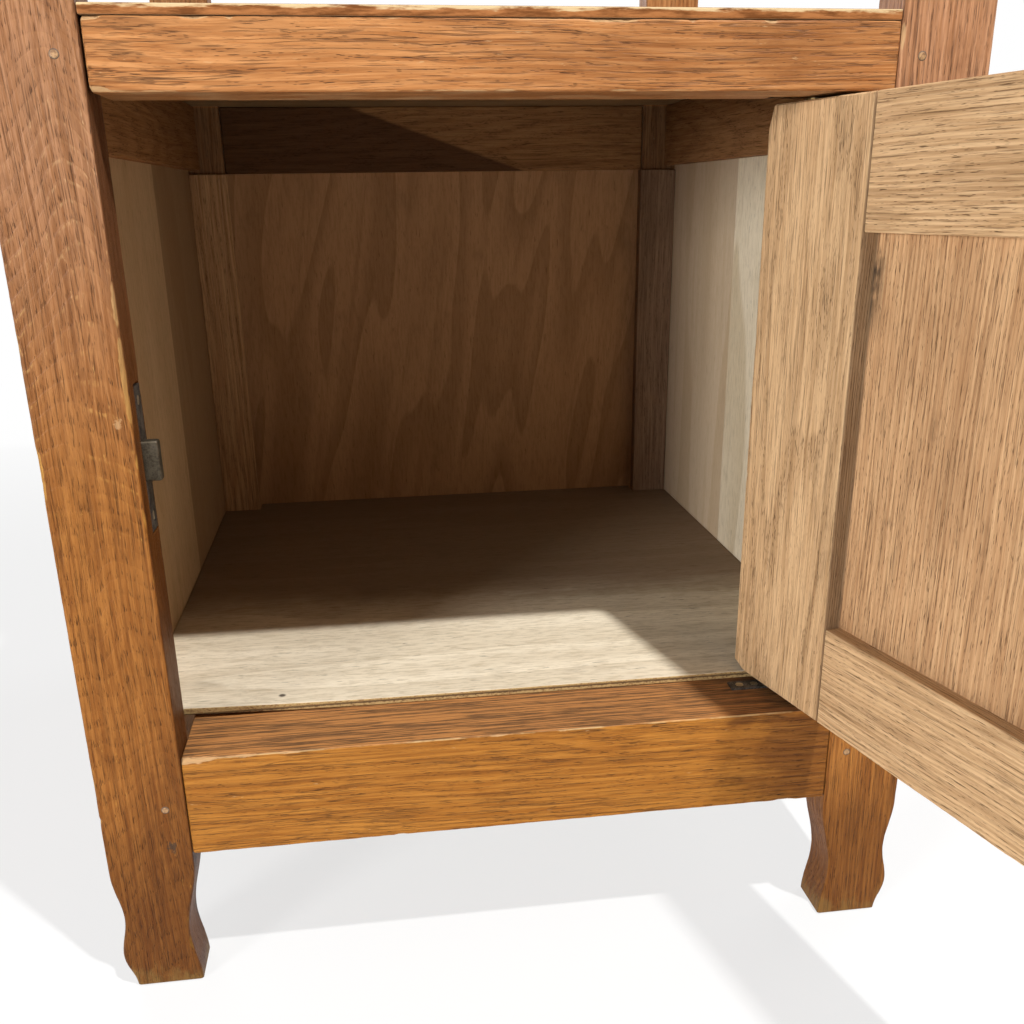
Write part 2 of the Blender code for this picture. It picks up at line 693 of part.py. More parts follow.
def make_hinges(door, stile, rails):
    """A pivot hinge under the door and one over it, each with two leaves, a washer and a pin.

    The lower leaves lie on the wood, the upper ones are let in flush, and each washer packs out
    the gap between its two leaves.
    """
    sill = rails["front_bottom"]
    header = rails["front_middle"]
    sill_leaf = SILL_TOP + FIT
    lower_leaf = DOOR_Z - FIT - LEAF_THICKNESS
    make_leaf("sill_hinge_leaf", sill_leaf, False, False, sill, None)
    make_leaf("lower_door_hinge_leaf", lower_leaf, True, False, stile, door)
    make_leaf("upper_door_hinge_leaf", DOOR_TOP - LEAF_THICKNESS, False, True, stile, door)
    make_leaf("header_hinge_leaf", HEADER_Z, True, True, header, None)

    gaps = {"lower": (sill_leaf + LEAF_THICKNESS, lower_leaf), "upper": (DOOR_TOP, HEADER_Z)}
    pins = {
        "lower": (sill_leaf, DOOR_Z + HINGE_PIN_IN_DOOR),
        "upper": (DOOR_TOP - HINGE_PIN_IN_DOOR, HEADER_Z + LEAF_THICKNESS),
    }
    axis = at((PIVOT_X, PIVOT_Y, 0.0))
    bore = HINGE_PIN_RADIUS + FIT
    for end in ("lower", "upper"):
        low, high = pins[end]
        name = f"{end}_hinge_pin"
        show(name, turned_mesh(name, rod_profile(HINGE_PIN_RADIUS, high, low), axis), STEEL)
        cut_rod(stile, f"{name}_hole", bore, high + FIT, low - FIT, UPWARDS, door)
        name = f"{end}_hinge_washer"
        low, high = gaps[end]
        profile = rod_profile(LEAF_WIDTH / 2, high - FIT, low + FIT)
        washer = show(name, turned_mesh(name, profile, axis), BRASS)
        cut_rod(washer, f"{name}_hole", bore, high, low, axis)


def make_catch(post):
    """A plate let into the left post's inner face, with a fixed tongue standing out of it."""
    face = -HALF_OPENING
    half_width = CATCH_PLATE_WIDTH / 2
    half_height = CATCH_PLATE_HEIGHT / 2
    low = (face - CATCH_PLATE_THICKNESS, CATCH_Y - half_width, CATCH_Z - half_height)
    high = (face, CATCH_Y + half_width, CATCH_Z + half_height)
    plate = show("catch_plate", box_mesh("catch_plate", low, high), STEEL)
    cut_box(post, "catch_plate_recess", *grown(low, high))

    half_tongue = TONGUE_HEIGHT / 2
    low = (face - TONGUE_ROOT, TONGUE_BACK - TONGUE_THICKNESS, CATCH_Z - half_tongue)
    high = (face + TONGUE_REACH, TONGUE_BACK, CATCH_Z + half_tongue)
    tongue = show("catch_tongue", box_mesh("catch_tongue", low, high), BRASS)
    bevel(tongue, TONGUE_ROUND, 2)
    for holder in (plate, post):
        cut_box(holder, f"catch_tongue_mortise_in_{holder.name}", *grown(low, high))

    for number, sign in enumerate((1, -1), 1):
        matrix = at((face, CATCH_Y, CATCH_Z + sign * CATCH_SCREW_SPACING / 2), TOWARDS_RIGHT)
        make_screw(f"catch_screw_{number}", matrix, (plate, post))


def plate_outline():
    """The latch plate from the front: a strip with round ends."""
    radius = LATCH_PLATE_WIDTH / 2
    straight = LATCH_PLATE_HEIGHT / 2 - radius
    return arc((0.0, straight), radius, 0, 180, 12) + arc((0.0, -straight), radius, 180, 360, 12)


def handle_outline():
    """The lever's handle from the front, hanging down from its hub and widening to a palm end."""
    palm = arc((0.0, HANDLE_PALM - HANDLE_LENGTH), HANDLE_PALM, 180, 360, 10)
    return [(HANDLE_NECK, 0.0), (-HANDLE_NECK, 0.0), *palm]


def make_latch(door, stile):
    """A lever latch: the arm swings down behind the catch's tongue as the handle is raised."""
    face = at((LATCH_X, 0.0, CATCH_Z), FACING_FRONT)
    middle = LATCH_PLATE_Y + LATCH_PLATE_THICKNESS / 2
    place = at((LATCH_X, middle, CATCH_Z), FACING_FRONT)
    plate_mesh = outline_mesh("latch_plate", plate_outline(), LATCH_PLATE_THICKNESS, place)
    plate = show("latch_plate", plate_mesh, BRASS, door)
    for number, sign in enumerate((1, -1), 1):
        height = CATCH_Z + sign * LATCH_SCREW_SPACING / 2
        matrix = at((LATCH_X, LATCH_PLATE_Y, height), TOWARDS_FRONT)
        make_screw(f"latch_screw_{number}", matrix, (plate, stile), door)

    latch = pivot("latch_pivot", (LATCH_X, 0.0, CATCH_Z), (0.0, 0.0, 0.0), door)
    arm_length = LATCH_INSET + DOOR_GAP - ARM_TIP_GAP
    arm_low = (-ARM_WIDTH / 2, ARM_Y, 0.0)
    arm_high = (ARM_WIDTH / 2, ARM_Y + ARM_THICKNESS, arm_length)
    lever = show("latch_lever", box_mesh("latch_lever", arm_low, arm_high), BRASS, latch)
    bevel(lever, EDGE)
    hub = turned_mesh(
        "latch_hub", rod_profile(HUB_RADIUS, -HUB_Y, -ARM_Y - ARM_THICKNESS), TOWARDS_FRONT, 24
    )
    boolean(lever, tool("latch_hub", hub, latch), "UNION")
    handle_place = at((0.0, HUB_Y + HANDLE_THICKNESS / 2, 0.0), FACING_FRONT)
    handle = outline_mesh("latch_handle", handle_outline(), HANDLE_THICKNESS - 2 * FIT, handle_place)
    boolean(lever, tool("latch_handle", handle, latch), "UNION")
    bore = SPINDLE_RADIUS + FIT
    cut_rod(lever, "latch_bore", bore, -2 * HUB_Y, HUB_Y, TOWARDS_FRONT, latch)

    head_y = HUB_Y - FIT
    tail_y = DOOR_REAR + FIT + NUT_THICKNESS + SPINDLE_TAIL
    spindle_profile = [
        (0.0, -head_y + SPINDLE_HEAD_HEIGHT),
        (SPINDLE_HEAD_RADIUS / 2, -head_y + SPINDLE_HEAD_HEIGHT * 0.85),
        (SPINDLE_HEAD_RADIUS, -head_y + SPINDLE_HEAD_HEIGHT / 3),
        (SPINDLE_HEAD_RADIUS, -head_y),
        (SPINDLE_RADIUS, -head_y),
        (SPINDLE_RADIUS, -tail_y),
        (0.0, -tail_y),
    ]
    show("latch_spindle", turned_mesh("latch_spindle", spindle_profile, face), BRASS, door)
    for holder in (plate, stile):
        label = f"latch_spindle_hole_in_{holder.name}"
        cut_rod(holder, label, bore, -2 * LATCH_PLATE_Y, -2 * DOOR_REAR, face, door)

    nut_y = DOOR_REAR + FIT
    nut_profile = rod_profile(NUT_RADIUS, -nut_y, -nut_y - NUT_THICKNESS)
    nut_mesh = turned_mesh("latch_nut", nut_profile, face, 6)
    nut = show("latch_nut", nut_mesh, BRASS, door)
    cut_rod(nut, "latch_nut_bore", bore, 0.0, -2 * tail_y, face, door)

    half_notch = TONGUE_HEIGHT / 2 + NOTCH_CLEARANCE
    notch_depth = TONGUE_REACH - DOOR_GAP + NOTCH_CLEARANCE
    low = (DOOR_FREE_X - DOOR_GAP, 2 * DOOR_FACE, CATCH_Z - half_notch)
    high = (DOOR_FREE_X + notch_depth, 2 * DOOR_REAR, CATCH_Z + half_notch)
    cut_box(stile, "catch_notch", low, high, door)


def make_icebox():
    posts = make_posts()
    rails = make_rails(posts)
    make_pegs(posts, rails)
    for side in ("left", "right"):
        make_side_panel(side, posts, rails)
    make_back_panel(posts, rails)
    make_cleats(make_boards())
    make_catch(posts[("front", "left")])
    open_turn = (0.0, 0.0, math.radians(DOOR_OPEN_DEG))
    door = pivot("door_pivot", (PIVOT_X, PIVOT_Y, 0.0), open_turn)
    stiles = make_door_frame(door)
    make_hinges(door, stiles["hinge"], rails)
    make_latch(door, stiles["latch"])


make_icebox()
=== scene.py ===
"""Looks of the oak icebox cabinet: worn edges, open-grained oak, sheet wood and old metal."""

import json
import math
import random
from collections import namedtuple

import bmesh
import bpy
from mathutils import Matrix, Vector, noise


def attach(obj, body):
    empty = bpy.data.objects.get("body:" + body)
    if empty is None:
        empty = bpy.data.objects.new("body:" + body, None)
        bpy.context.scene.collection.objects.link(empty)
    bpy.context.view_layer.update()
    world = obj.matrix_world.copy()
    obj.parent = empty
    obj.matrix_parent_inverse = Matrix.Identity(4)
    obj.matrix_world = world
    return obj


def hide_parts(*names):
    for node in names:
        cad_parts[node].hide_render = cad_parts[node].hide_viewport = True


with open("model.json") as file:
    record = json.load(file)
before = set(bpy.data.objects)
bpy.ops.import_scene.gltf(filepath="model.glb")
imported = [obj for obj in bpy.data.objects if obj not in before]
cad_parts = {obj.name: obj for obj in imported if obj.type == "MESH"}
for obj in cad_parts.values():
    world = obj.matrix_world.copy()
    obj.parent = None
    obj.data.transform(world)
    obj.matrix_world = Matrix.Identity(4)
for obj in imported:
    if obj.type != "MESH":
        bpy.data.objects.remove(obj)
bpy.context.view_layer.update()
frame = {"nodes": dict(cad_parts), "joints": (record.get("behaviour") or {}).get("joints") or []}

MM = 0.001

# The door's own frame: its pivot, turned as far as the door stands open at rest
DOOR_JOINT = next(joint for joint in frame["joints"] if joint["name"] == "door_hinge")
DOOR_ANGLE = math.radians(-DOOR_JOINT["range_deg"][0])
CABINET_SPACE = Matrix.Identity(4)
DOOR_SPACE = Matrix.Translation((*DOOR_JOINT["pos_m"][:2], 0.0)) @ Matrix.Rotation(DOOR_ANGLE, 4, "Z")

# Across, deep and along the grain for a piece whose grain runs along X, Y or Z
GRAIN_AXES = {
    "x": Matrix(((0, 0, 1), (0, 1, 0), (-1, 0, 0))),
    "y": Matrix(((0, 1, 0), (0, 0, 1), (1, 0, 0))),
    "z": Matrix.Identity(3),
}

# Worn edges: the rings of a board, its rounded corners and the chips in them
RING_STEP = 3 * MM
END_INSET = 0.8 * MM
CORNERS = ((1, 1), (-1, 1), (-1, -1), (1, -1))
ARC_STEPS = 4
SUPPORT = 0.25 * MM
LEAST_RADIUS = 0.25 * MM
SMOOTH_ANGLE = math.radians(38)
CHIPS_PER_METRE = 9
CHIP_REACH = (1.5, 8)
CHIP_DEPTH = (0.3, 1.3)
BARE_CHIP = 1.6 * MM

# Eased edges of sheets and metal
EASED_SEGMENTS = 2
EASED_ANGLE = math.radians(50)

# Meshes


def node_box(node, space=CABINET_SPACE):
    """Lowest and highest corners of a CAD node in the cabinet's or the door's frame."""
    back = space.inverted()
    points = [back @ vertex.co for vertex in frame["nodes"][node].data.vertices]
    low = Vector([min(point[i] for point in points) for i in range(3)])
    high = Vector([max(point[i] for point in points) for i in range(3)])
    return low, high


def mesh_of(name, shape):
    mesh = bpy.data.meshes.new(name)
    shape.to_mesh(mesh)
    shape.free()
    return mesh


def loft(name, rings):
    """A closed mesh over rings of points, capped at both ends."""
    shape = bmesh.new()
    loops = [[shape.verts.new(point) for point in ring] for ring in rings]
    for loop, following in zip(loops, loops[1:]):
        for i in range(len(loop)):
            j = (i + 1) % len(loop)
            shape.faces.new((loop[i], loop[j], following[j], following[i]))
    shape.faces.new(loops[0])
    shape.faces.new(loops[-1])
    bmesh.ops.recalc_face_normals(shape, faces=shape.faces)
    return mesh_of(name, shape)


def linked(name, data):
    """A new object in the scene."""
    made = bpy.data.objects.new(name, data)
    bpy.context.scene.collection.objects.link(made)
    return made


def new_piece(name, mesh, body, *nodes):
    piece = linked(name, mesh)
    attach(piece, body)
    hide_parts(*nodes)
    return piece


def ease(piece, width):
    """Rounds a piece's sharp edges."""
    bevel = piece.modifiers.new("eased_edges", "BEVEL")
    bevel.width = width
    bevel.segments = EASED_SEGMENTS
    bevel.limit_method = "ANGLE"
    bevel.angle_limit = EASED_ANGLE


def point_values(mesh, name, values):
    attribute = mesh.attributes.new(name, "FLOAT", "POINT")
    attribute.data.foreach_set("value", values)


def wave(place, seed):
    return noise.noise(Vector((place, seed * 3.17, seed * 0.71)))


class Chips:
    """Places along one edge where the wood has broken away: middle, reach and depth."""

    def __init__(self, length, amount, seed):
        draw = random.Random(seed)
        count = int(length * CHIPS_PER_METRE * amount + draw.random())
        self.chips = [
            (draw.uniform(0, length), draw.uniform(*CHIP_REACH) * MM, draw.uniform(*CHIP_DEPTH) * MM)
            for _ in range(count)
        ]

    def depth(self, place):
        deepest = 0.0
        for middle, reach, depth in self.chips:
            away = abs(place - middle) / reach
            if away < 1:
                deepest = max(deepest, depth * (1 - away ** 3))
        return deepest


def section(across, deep, radii, dents):
    """A rounded rectangle: each point with its share of the edge and its turn round the corners."""
    points = []
    for corner, (side_w, side_d) in enumerate(CORNERS):
        radius = radii[corner]
        centre_w = across[1] - radius if side_w > 0 else across[0] + radius
        centre_d = deep[1] - radius if side_d > 0 else deep[0] + radius
        for i in range(-1, ARC_STEPS + 2):
            step = min(max(i, 0), ARC_STEPS)
            angle = (corner + step / ARC_STEPS) * math.pi / 2
            edge = math.sin(math.pi * step / ARC_STEPS)
            reach = radius - dents[corner] * edge
            offset = SUPPORT * (i - step)
            w = centre_w + reach * math.cos(angle) - offset * math.sin(angle)
            d = centre_d + reach * math.sin(angle) + offset * math.cos(angle)
            points.append((w, d, edge, corner, step / ARC_STEPS))
    return points


def member(
    node, low, high, grain, body="cabinet", space=CABINET_SPACE, radius=1.0 * MM, worn=1.0,
    raw=(0, 0, 0, 0), step=RING_STEP, profile=None, broken=(),
):
    """A board with worn edges, from its corners, its grain's axis and how raw its four faces are.

    Its broken places, listed as in BROKEN, come on top of the chance chips.
    """
    seed = sum(ord(letter) * (i + 1) for i, letter in enumerate(node)) % 997
    axes = GRAIN_AXES[grain]
    ends = [axes.transposed() @ Vector(low), axes.transposed() @ Vector(high)]
    near = Vector(map(min, *ends))
    far = Vector(map(max, *ends))
    length = far.z - near.z
    thin = min(far.x - near.x, far.y - near.y)
    limit = 0.42 * thin
    radius = min(radius, 0.3 * thin)
    chips = [Chips(length, worn, seed * 4 + corner) for corner in range(4)]
    for corner, place, reach, depth in broken:
        chips[corner].chips.append((place, reach * MM, depth * MM))
    inset = min(END_INSET, radius)
    count = max(2, round((length - 2 * inset) / step))
    places = [0.0, *(inset + (length - 2 * inset) * i / count for i in range(count + 1)), length]

    rings, wears, raws = [], [], []
    for place in places:
        shrink = inset if place in (0.0, length) else 0.0
        across = profile(near.z + place) if profile else (near.x, far.x)
        radii, dents, scuffs = [], [], []
        for corner in range(4):
            sway = wave(place * 23, seed + corner) + 0.6 * wave(place * 140, seed + 9 + corner)
            chip = chips[corner].depth(place) * (1 + 0.4 * wave(place * 420, seed + corner))
            radii.append(min(limit, max(LEAST_RADIUS, radius * (1 + 0.4 * worn * sway) + chip)))
            dents.append(min(0.5, 0.25 * worn) * radii[-1] * abs(wave(place * 310, seed + 31)))
            scuffs.append(min(1.0, max(0.0, worn * (0.30 + 0.45 * sway + chip / BARE_CHIP))))
        outline = section(
            (across[0] + shrink, across[1] - shrink), (near.y + shrink, far.y - shrink), radii, dents
        )
        ring = []
        for w, d, edge, corner, turn in outline:
            ring.append(space @ (axes @ Vector((w, d, near.z + place))))
            wears.append(edge * scuffs[corner])
            raws.append(raw[corner] + (raw[(corner + 1) % 4] - raw[corner]) * turn)
        rings.append(ring)
    mesh = loft(node, rings)
    point_values(mesh, "wear", wears)
    point_values(mesh, "raw", raws)
    mesh.shade_smooth()
    mesh.set_sharp_from_angle(angle=SMOOTH_ANGLE)
    return new_piece(f"{node}_worn", mesh, body, node)


def cut(piece, name, low, high, space=CABINET_SPACE):
    """Takes a box out of a piece for good."""
    low, high = Vector(low), Vector(high)
    shape = bmesh.new()
    bmesh.ops.create_cube(shape, size=1.0)
    place = Matrix.Translation((low + high) / 2) @ Matrix.Diagonal((*(high - low), 1))
    bmesh.ops.transform(shape, matrix=space @ place, verts=shape.verts)
    cutter = linked(name, mesh_of(name, shape))
    modifier = piece.modifiers.new(name, "BOOLEAN")
    modifier.operation = "DIFFERENCE"
    modifier.object = cutter
    bpy.context.view_layer.update()
    result = bpy.data.meshes.new_from_object(piece.evaluated_get(bpy.context.evaluated_depsgraph_get()))
    piece.modifiers.clear()
    old = piece.data
    piece.data = result
    bpy.data.meshes.remove(old)
    bpy.data.objects.remove(cutter, do_unlink=True)


# Nodes


class Value:
    """An output of a node. Arithmetic on it adds math nodes to its tree."""

    def __init__(self, tree, socket):
        self.tree, self.socket = tree, socket

    def math(self, operation, *others):
        return out(self.tree, "ShaderNodeMath", dict(enumerate((self, *others))), operation=operation)

    def __add__(self, other):
        return self.math("ADD", other)

    def __sub__(self, other):
        return self.math("SUBTRACT", other)

    def __mul__(self, other):
        return self.math("MULTIPLY", other)

    def __truediv__(self, other):
        return self.math("DIVIDE", other)

    def __abs__(self):
        return self.math("ABSOLUTE")


def put(socket, value):
    """Links a value to a socket, or sets the socket to a constant, which is opaque if it is a colour."""
    if isinstance(value, Value):
        value.tree.links.new(value.socket, socket)
    elif socket.type == "RGBA":
        socket.default_value = (*value, 1.0)
    else:
        socket.default_value = value


def put_all(node, inputs):
    for key, value in inputs.items():
        put(node.inputs[key], value)


def add(tree, kind, inputs=None, **settings):
    made = tree.nodes.new(kind)
    for key, value in settings.items():
        setattr(made, key, value)
    put_all(made, inputs or {})
    return made


def out(tree, kind, inputs=None, output=0, **settings):
    """One output of a new node."""
    return Value(tree, add(tree, kind, inputs, **settings).outputs[output])


def here(tree, output="Object"):
    """A point of the piece in the frame that it is modelled in, or its normal there."""
    return out(tree, "ShaderNodeTexCoord", output=output)


def split(place):
    """The three parts of a place."""
    made = add(place.tree, "ShaderNodeSeparateXYZ", {0: place})
    return [Value(place.tree, part) for part in made.outputs]


def vector(operation, first, second, output=0):
    return out(first.tree, "ShaderNodeVectorMath", {0: first, 1: second}, output, operation=operation)


def between(value, start, end, full=1.0, base=0.0):
    """A smooth step: base at the start and full at the end."""
    return out(
        value.tree, "ShaderNodeMapRange",
        {"Value": value, "From Min": start, "From Max": end, "To Min": base, "To Max": full},
        interpolation_type="SMOOTHSTEP",
    )


def blend(share, first, second, kind="MIX"):
    """The first colour where the share is 0, and the second where it is 1."""
    tree = next(item.tree for item in (share, first) if isinstance(item, Value))
    return out(
        tree, "ShaderNodeMix", {0: share, 6: first, 7: second}, 2, data_type="RGBA", blend_type=kind
    )


def tint(share, colour, shade):
    """A colour multiplied by a shade where the share is 1."""
    return blend(share, colour, shade, "MULTIPLY")


def cloud(place, stretch, detail=2, roughness=0.55, output="Fac"):
    """Noise of a place stretched by (across, deep, along) counts a metre."""
    return out(
        place.tree, "ShaderNodeTexNoise",
        {"Vector": vector("MULTIPLY", place, stretch), "Scale": 1.0, "Detail": detail,
         "Roughness": roughness},
        output,
    )


def dashes(place, stretch, thin, thick):
    """Short dark pores: the middles of stretched cells."""
    stretched = vector("MULTIPLY", place, stretch)
    cells = out(place.tree, "ShaderNodeTexVoronoi", {"Vector": stretched, "Scale": 1.0}, "Distance")
    return between(cells, thick, thin)


def distance(place, weights, target):
    """How far a place lies from a target, with each axis weighted."""
    aim = tuple(weight * part for weight, part in zip(weights, target))
    return vector("DISTANCE", vector("MULTIPLY", place, weights), aim, "Value")


def attribute(tree, name):
    return out(tree, "ShaderNodeAttribute", output="Fac", attribute_name=name)


def put_bump(shader, height, strength, depth):
    bump = out(height.tree, "ShaderNodeBump", {"Strength": strength, "Distance": depth, "Height": height})
    put(shader.inputs["Normal"], bump)


def random_shift(seed, reach):
    draw = random.Random(seed)
    return tuple(draw.uniform(-reach, reach) for _ in range(3))


def own_place(tree, grain, space):
    """A point in a piece's own frame: across, deep and along its grain."""
    turn = (space.to_3x3() @ GRAIN_AXES[grain]).to_euler()
    return out(
        tree, "ShaderNodeMapping",
        {"Vector": here(tree), "Location": space.translation, "Rotation": turn},
        vector_type="TEXTURE",
    )


def cover(mesh, material):
    mesh.materials.clear()
    mesh.materials.append(material)


def new_material(piece, kind):
    made = bpy.data.materials.new(f"{piece.name}_{kind}")
    made.use_nodes = True
    cover(piece.data, made)
    return made.node_tree, made.node_tree.nodes["Principled BSDF"]


# Oak

# Colours and roughness of one state of the wood, and how strongly its rings show
Tone = namedtuple("Tone", "dark middle light pore rough ring")

VARNISH = Tone(
    (0.150, 0.049, 0.0125), (0.330, 0.125, 0.036),
    (0.500, 0.228, 0.082), (0.030, 0.0115, 0.0055), 0.42, 0.28,
)
RED_VARNISH = Tone(
    (0.112, 0.041, 0.0140), (0.222, 0.091, 0.033),
    (0.358, 0.175, 0.085), (0.040, 0.0165, 0.0085), 0.4, 0.1,
)
FADED_VARNISH = Tone(
    (0.150, 0.057, 0.022), (0.305, 0.133, 0.055),
    (0.490, 0.250, 0.129), (0.045, 0.018, 0.009), 0.45, 0.28,
)
GOLD_VARNISH = Tone(
    (0.135, 0.042, 0.0060), (0.287, 0.102, 0.0131),
    (0.428, 0.175, 0.028), (0.027, 0.010, 0.0042), 0.5, 0.28,
)
BARE = Tone(
    (0.257, 0.139, 0.061), (0.505, 0.308, 0.153),
    (0.690, 0.458, 0.252), (0.082, 0.041, 0.020), 0.78, 0.3,
)
DULL_BARE = Tone(
    (0.140, 0.060, 0.022), (0.280, 0.132, 0.050),
    (0.390, 0.198, 0.081), (0.050, 0.024, 0.011), 0.8, 0.2,
)
GREY_BARE = Tone(
    (0.134, 0.074, 0.043), (0.237, 0.140, 0.085),
    (0.336, 0.212, 0.130), (0.048, 0.025, 0.015), 0.8, 0.2,
)
PANEL_BARE = Tone(
    (0.246, 0.120, 0.052), (0.480, 0.267, 0.128),
    (0.650, 0.404, 0.211), (0.064, 0.028, 0.0135), 0.78, 0.28,
)
WORN = (0.510, 0.320, 0.158)
DIRT = (0.045, 0.030, 0.020)
OAK_SPECULAR = 0.14
PLY_SPECULAR = 0.2
FIGURE_SETTINGS = ("Pith Across", "Pith Deep", "Tilt Across", "Tilt Deep", "Spacing", "Wobble")
HALF = (0.5, 0.5, 0.5)
SHAKE = (0.9 * MM, 0.9 * MM, 0.9 * MM)


def group_socket(tree, name, kind, direction):
    tree.interface.new_socket(name=name, socket_type=kind, in_out=direction)


def oak_figure():
    """Growth rings, pores, fibres, streaks and fine cracks of oak in grain space, as a group."""
    tree = bpy.data.node_groups.new("oak_figure", "ShaderNodeTree")
    group_socket(tree, "Place", "NodeSocketVector", "INPUT")
    for name in FIGURE_SETTINGS:
        group_socket(tree, name, "NodeSocketFloat", "INPUT")
    source = {socket.name: Value(tree, socket) for socket in add(tree, "NodeGroupInput").outputs}
    place = source["Place"]

    drift = vector("SUBTRACT", cloud(place, (8, 8, 2.2), output="Color"), HALF)
    drift = out(tree, "ShaderNodeVectorMath", {0: drift, 3: source["Wobble"]}, operation="SCALE")
    shake = vector("SUBTRACT", cloud(place, (75, 75, 9), output="Color"), HALF)
    shake = vector("MULTIPLY", shake, SHAKE)
    moved = vector("ADD", vector("ADD", place, drift), shake)
    across, deep, along = split(moved)
    across = along * source["Tilt Across"] + across - source["Pith Across"]
    deep = along * source["Tilt Deep"] + deep - source["Pith Deep"]
    rings = (across * across + deep * deep).math("SQRT") / source["Spacing"]
    ring = rings.math("FRACT")
    early = between(ring, 0.0, 0.1) * between(ring, 0.7, 0.15)
    crest = between(ring, 0.74, 0.9) * between(ring, 1.0, 0.95)
    crest = crest * between(cloud(place, (800, 800, 90), 3, 0.7), 0.46, 0.60)
    crest = crest * between(cloud(place, (45, 45, 30)), 0.40, 0.60)
    long_pores = dashes(moved, (1050, 1050, 62), 0.11, 0.25)
    short_pores = dashes(moved, (1750, 1750, 150), 0.10, 0.25)
    coarse_pores = dashes(moved, (850, 850, 23), 0.10, 0.32)
    pores = long_pores.math("MAXIMUM", short_pores) * (early * 0.7 + 0.3)
    pores = pores.math("MAXIMUM", coarse_pores * 0.6)
    fine_fibre = cloud(moved, (1500, 1500, 30), 3, 0.6)
    broad_fibre = cloud(moved, (520, 520, 14), 3, 0.6)
    streaks = cloud(moved, (380, 380, 4), 4, 0.62)
    line = between(abs(cloud(moved, (210, 210, 7), 3, 0.6) - 0.5), 0.02, 0.005)
    cracks = line * between(cloud(place, (70, 70, 9)), 0.44, 0.58)
    shown = {
        "Early": early, "Crest": crest, "Pores": pores, "Fibre": broad_fibre * 0.6 + fine_fibre * 0.4,
        "Streaks": streaks, "Cracks": cracks,
    }
    for name in shown:
        group_socket(tree, name, "NodeSocketFloat", "OUTPUT")
    add(tree, "NodeGroupOutput", shown)
    return tree


OAK_FIGURE = oak_figure()


def toned(tone, figure):
    """The colour of one tone of oak over a figure."""
    mixed = blend(between(figure["Fibre"], 0.36, 0.64), tone.middle, tone.light)
    mixed = blend(between(figure["Streaks"], 0.46, 0.70, 0.5), mixed, tone.dark)
    mixed = blend(figure["Early"] * tone.ring, mixed, tone.dark)
    return blend(figure["Pores"] * 0.9, mixed, tone.pore)


def oak(
    piece, grain, seed, finished=VARNISH, bare=BARE, space=CABINET_SPACE, pith=(0.03, 0.05),
    tilt=(0.0, 0.05), spacing=2.6 * MM, wobble=0.02, cracked=0.3, bare_from=None, wear_and_highlight_arches=None, marks=(),
):
    """Gives a piece its own oak, with its grain along an axis of its frame.

    The wood is bare where the piece's faces say so, or everywhere deeper than bare_from. Its rings
    show as pale arches about a place along it that the caller gives, as far as its reach: worn varnish
    on the ring crests and a painted highlight. Each mark takes the place in the piece's own frame, the
    colour so far and a blotchy noise, and gives a colour.
    """
    tree, shader = new_material(piece, "oak")
    own = own_place(tree, grain, space)
    settings = dict(zip(FIGURE_SETTINGS, (*pith, *tilt, spacing, wobble)))
    group = add(tree, "ShaderNodeGroup", {"Place": own, **settings}, node_tree=OAK_FIGURE)
    figure = {socket.name: Value(tree, socket) for socket in group.outputs}
    if bare_from is None:
        raw = attribute(tree, "raw")
    else:
        raw = between(split(own)[1], bare_from, bare_from + 1 * MM)
    shifted = vector("ADD", own, random_shift(seed, 3))
    patches = cloud(shifted, (16, 16, 5), 3)
    scuff = cloud(shifted, (420, 420, 90), 3, 0.65)
    blotch_noise = cloud(shifted, (60, 60, 30), 4, 0.65)

    coat = toned(finished, figure)
    # Pale arches on the ring crests: worn varnish and a painted highlight
    if wear_and_highlight_arches:
        middle, reach, strength = wear_and_highlight_arches
        away = abs(split(own)[2] - middle)
        coat = blend(figure["Crest"] * between(away, reach, reach / 3, strength), coat, WORN)
    coat = blend(between(patches, 0.50, 0.74, 0.5), coat, finished.dark)
    coat = blend(between(patches, 0.46, 0.28, 0.35), coat, finished.light)
    coat = blend(between(blotch_noise, 0.55, 0.75, 0.4), coat, finished.dark)
    coat = blend(figure["Cracks"] * cracked, coat, finished.pore)
    rubbed = between((scuff - 0.5) * 1.5 + attribute(tree, "wear"), 0.36, 0.75)
    coat = blend(rubbed * 0.75, coat, WORN)
    specks = between(scuff, 0.66, 0.72) * between(blotch_noise, 0.48, 0.60, 0.55)
    coat = blend(specks, coat, WORN)

    plain = toned(bare, figure)
    plain = blend(between(patches, 0.52, 0.76, 0.4), plain, bare.dark)
    plain = blend(between(blotch_noise, 0.60, 0.76, 0.3), plain, bare.pore)
    ragged = between((blotch_noise - 0.5) * 0.5 + raw, 0.4, 0.6)
    colour = blend(ragged, coat, plain)
    for mark in marks:
        colour = mark(own, colour, blotch_noise)

    rough_coat = rubbed * 0.2 + (scuff * 0.25 + (finished.rough - 0.08))
    rough_bare = scuff * 0.12 + (bare.rough - 0.06)
    rough = out(tree, "ShaderNodeMix", {0: ragged, 2: rough_coat, 3: rough_bare})
    rough = figure["Pores"] * 0.2 + rough
    put_all(shader, {"Base Color": colour, "Roughness": rough, "Specular IOR Level": OAK_SPECULAR})

    height = figure["Fibre"] * 0.6
    for name, share in (("Pores", -1.0), ("Cracks", -1.5 * cracked), ("Early", -0.25), ("Streaks", -0.4)):
        height = figure[name] * share + height
    put_bump(shader, scuff * 0.35 + height, 0.8, 0.5 * MM)


# Sheet wood and metal

MOTTLE = (0.72, 0.69, 0.64)


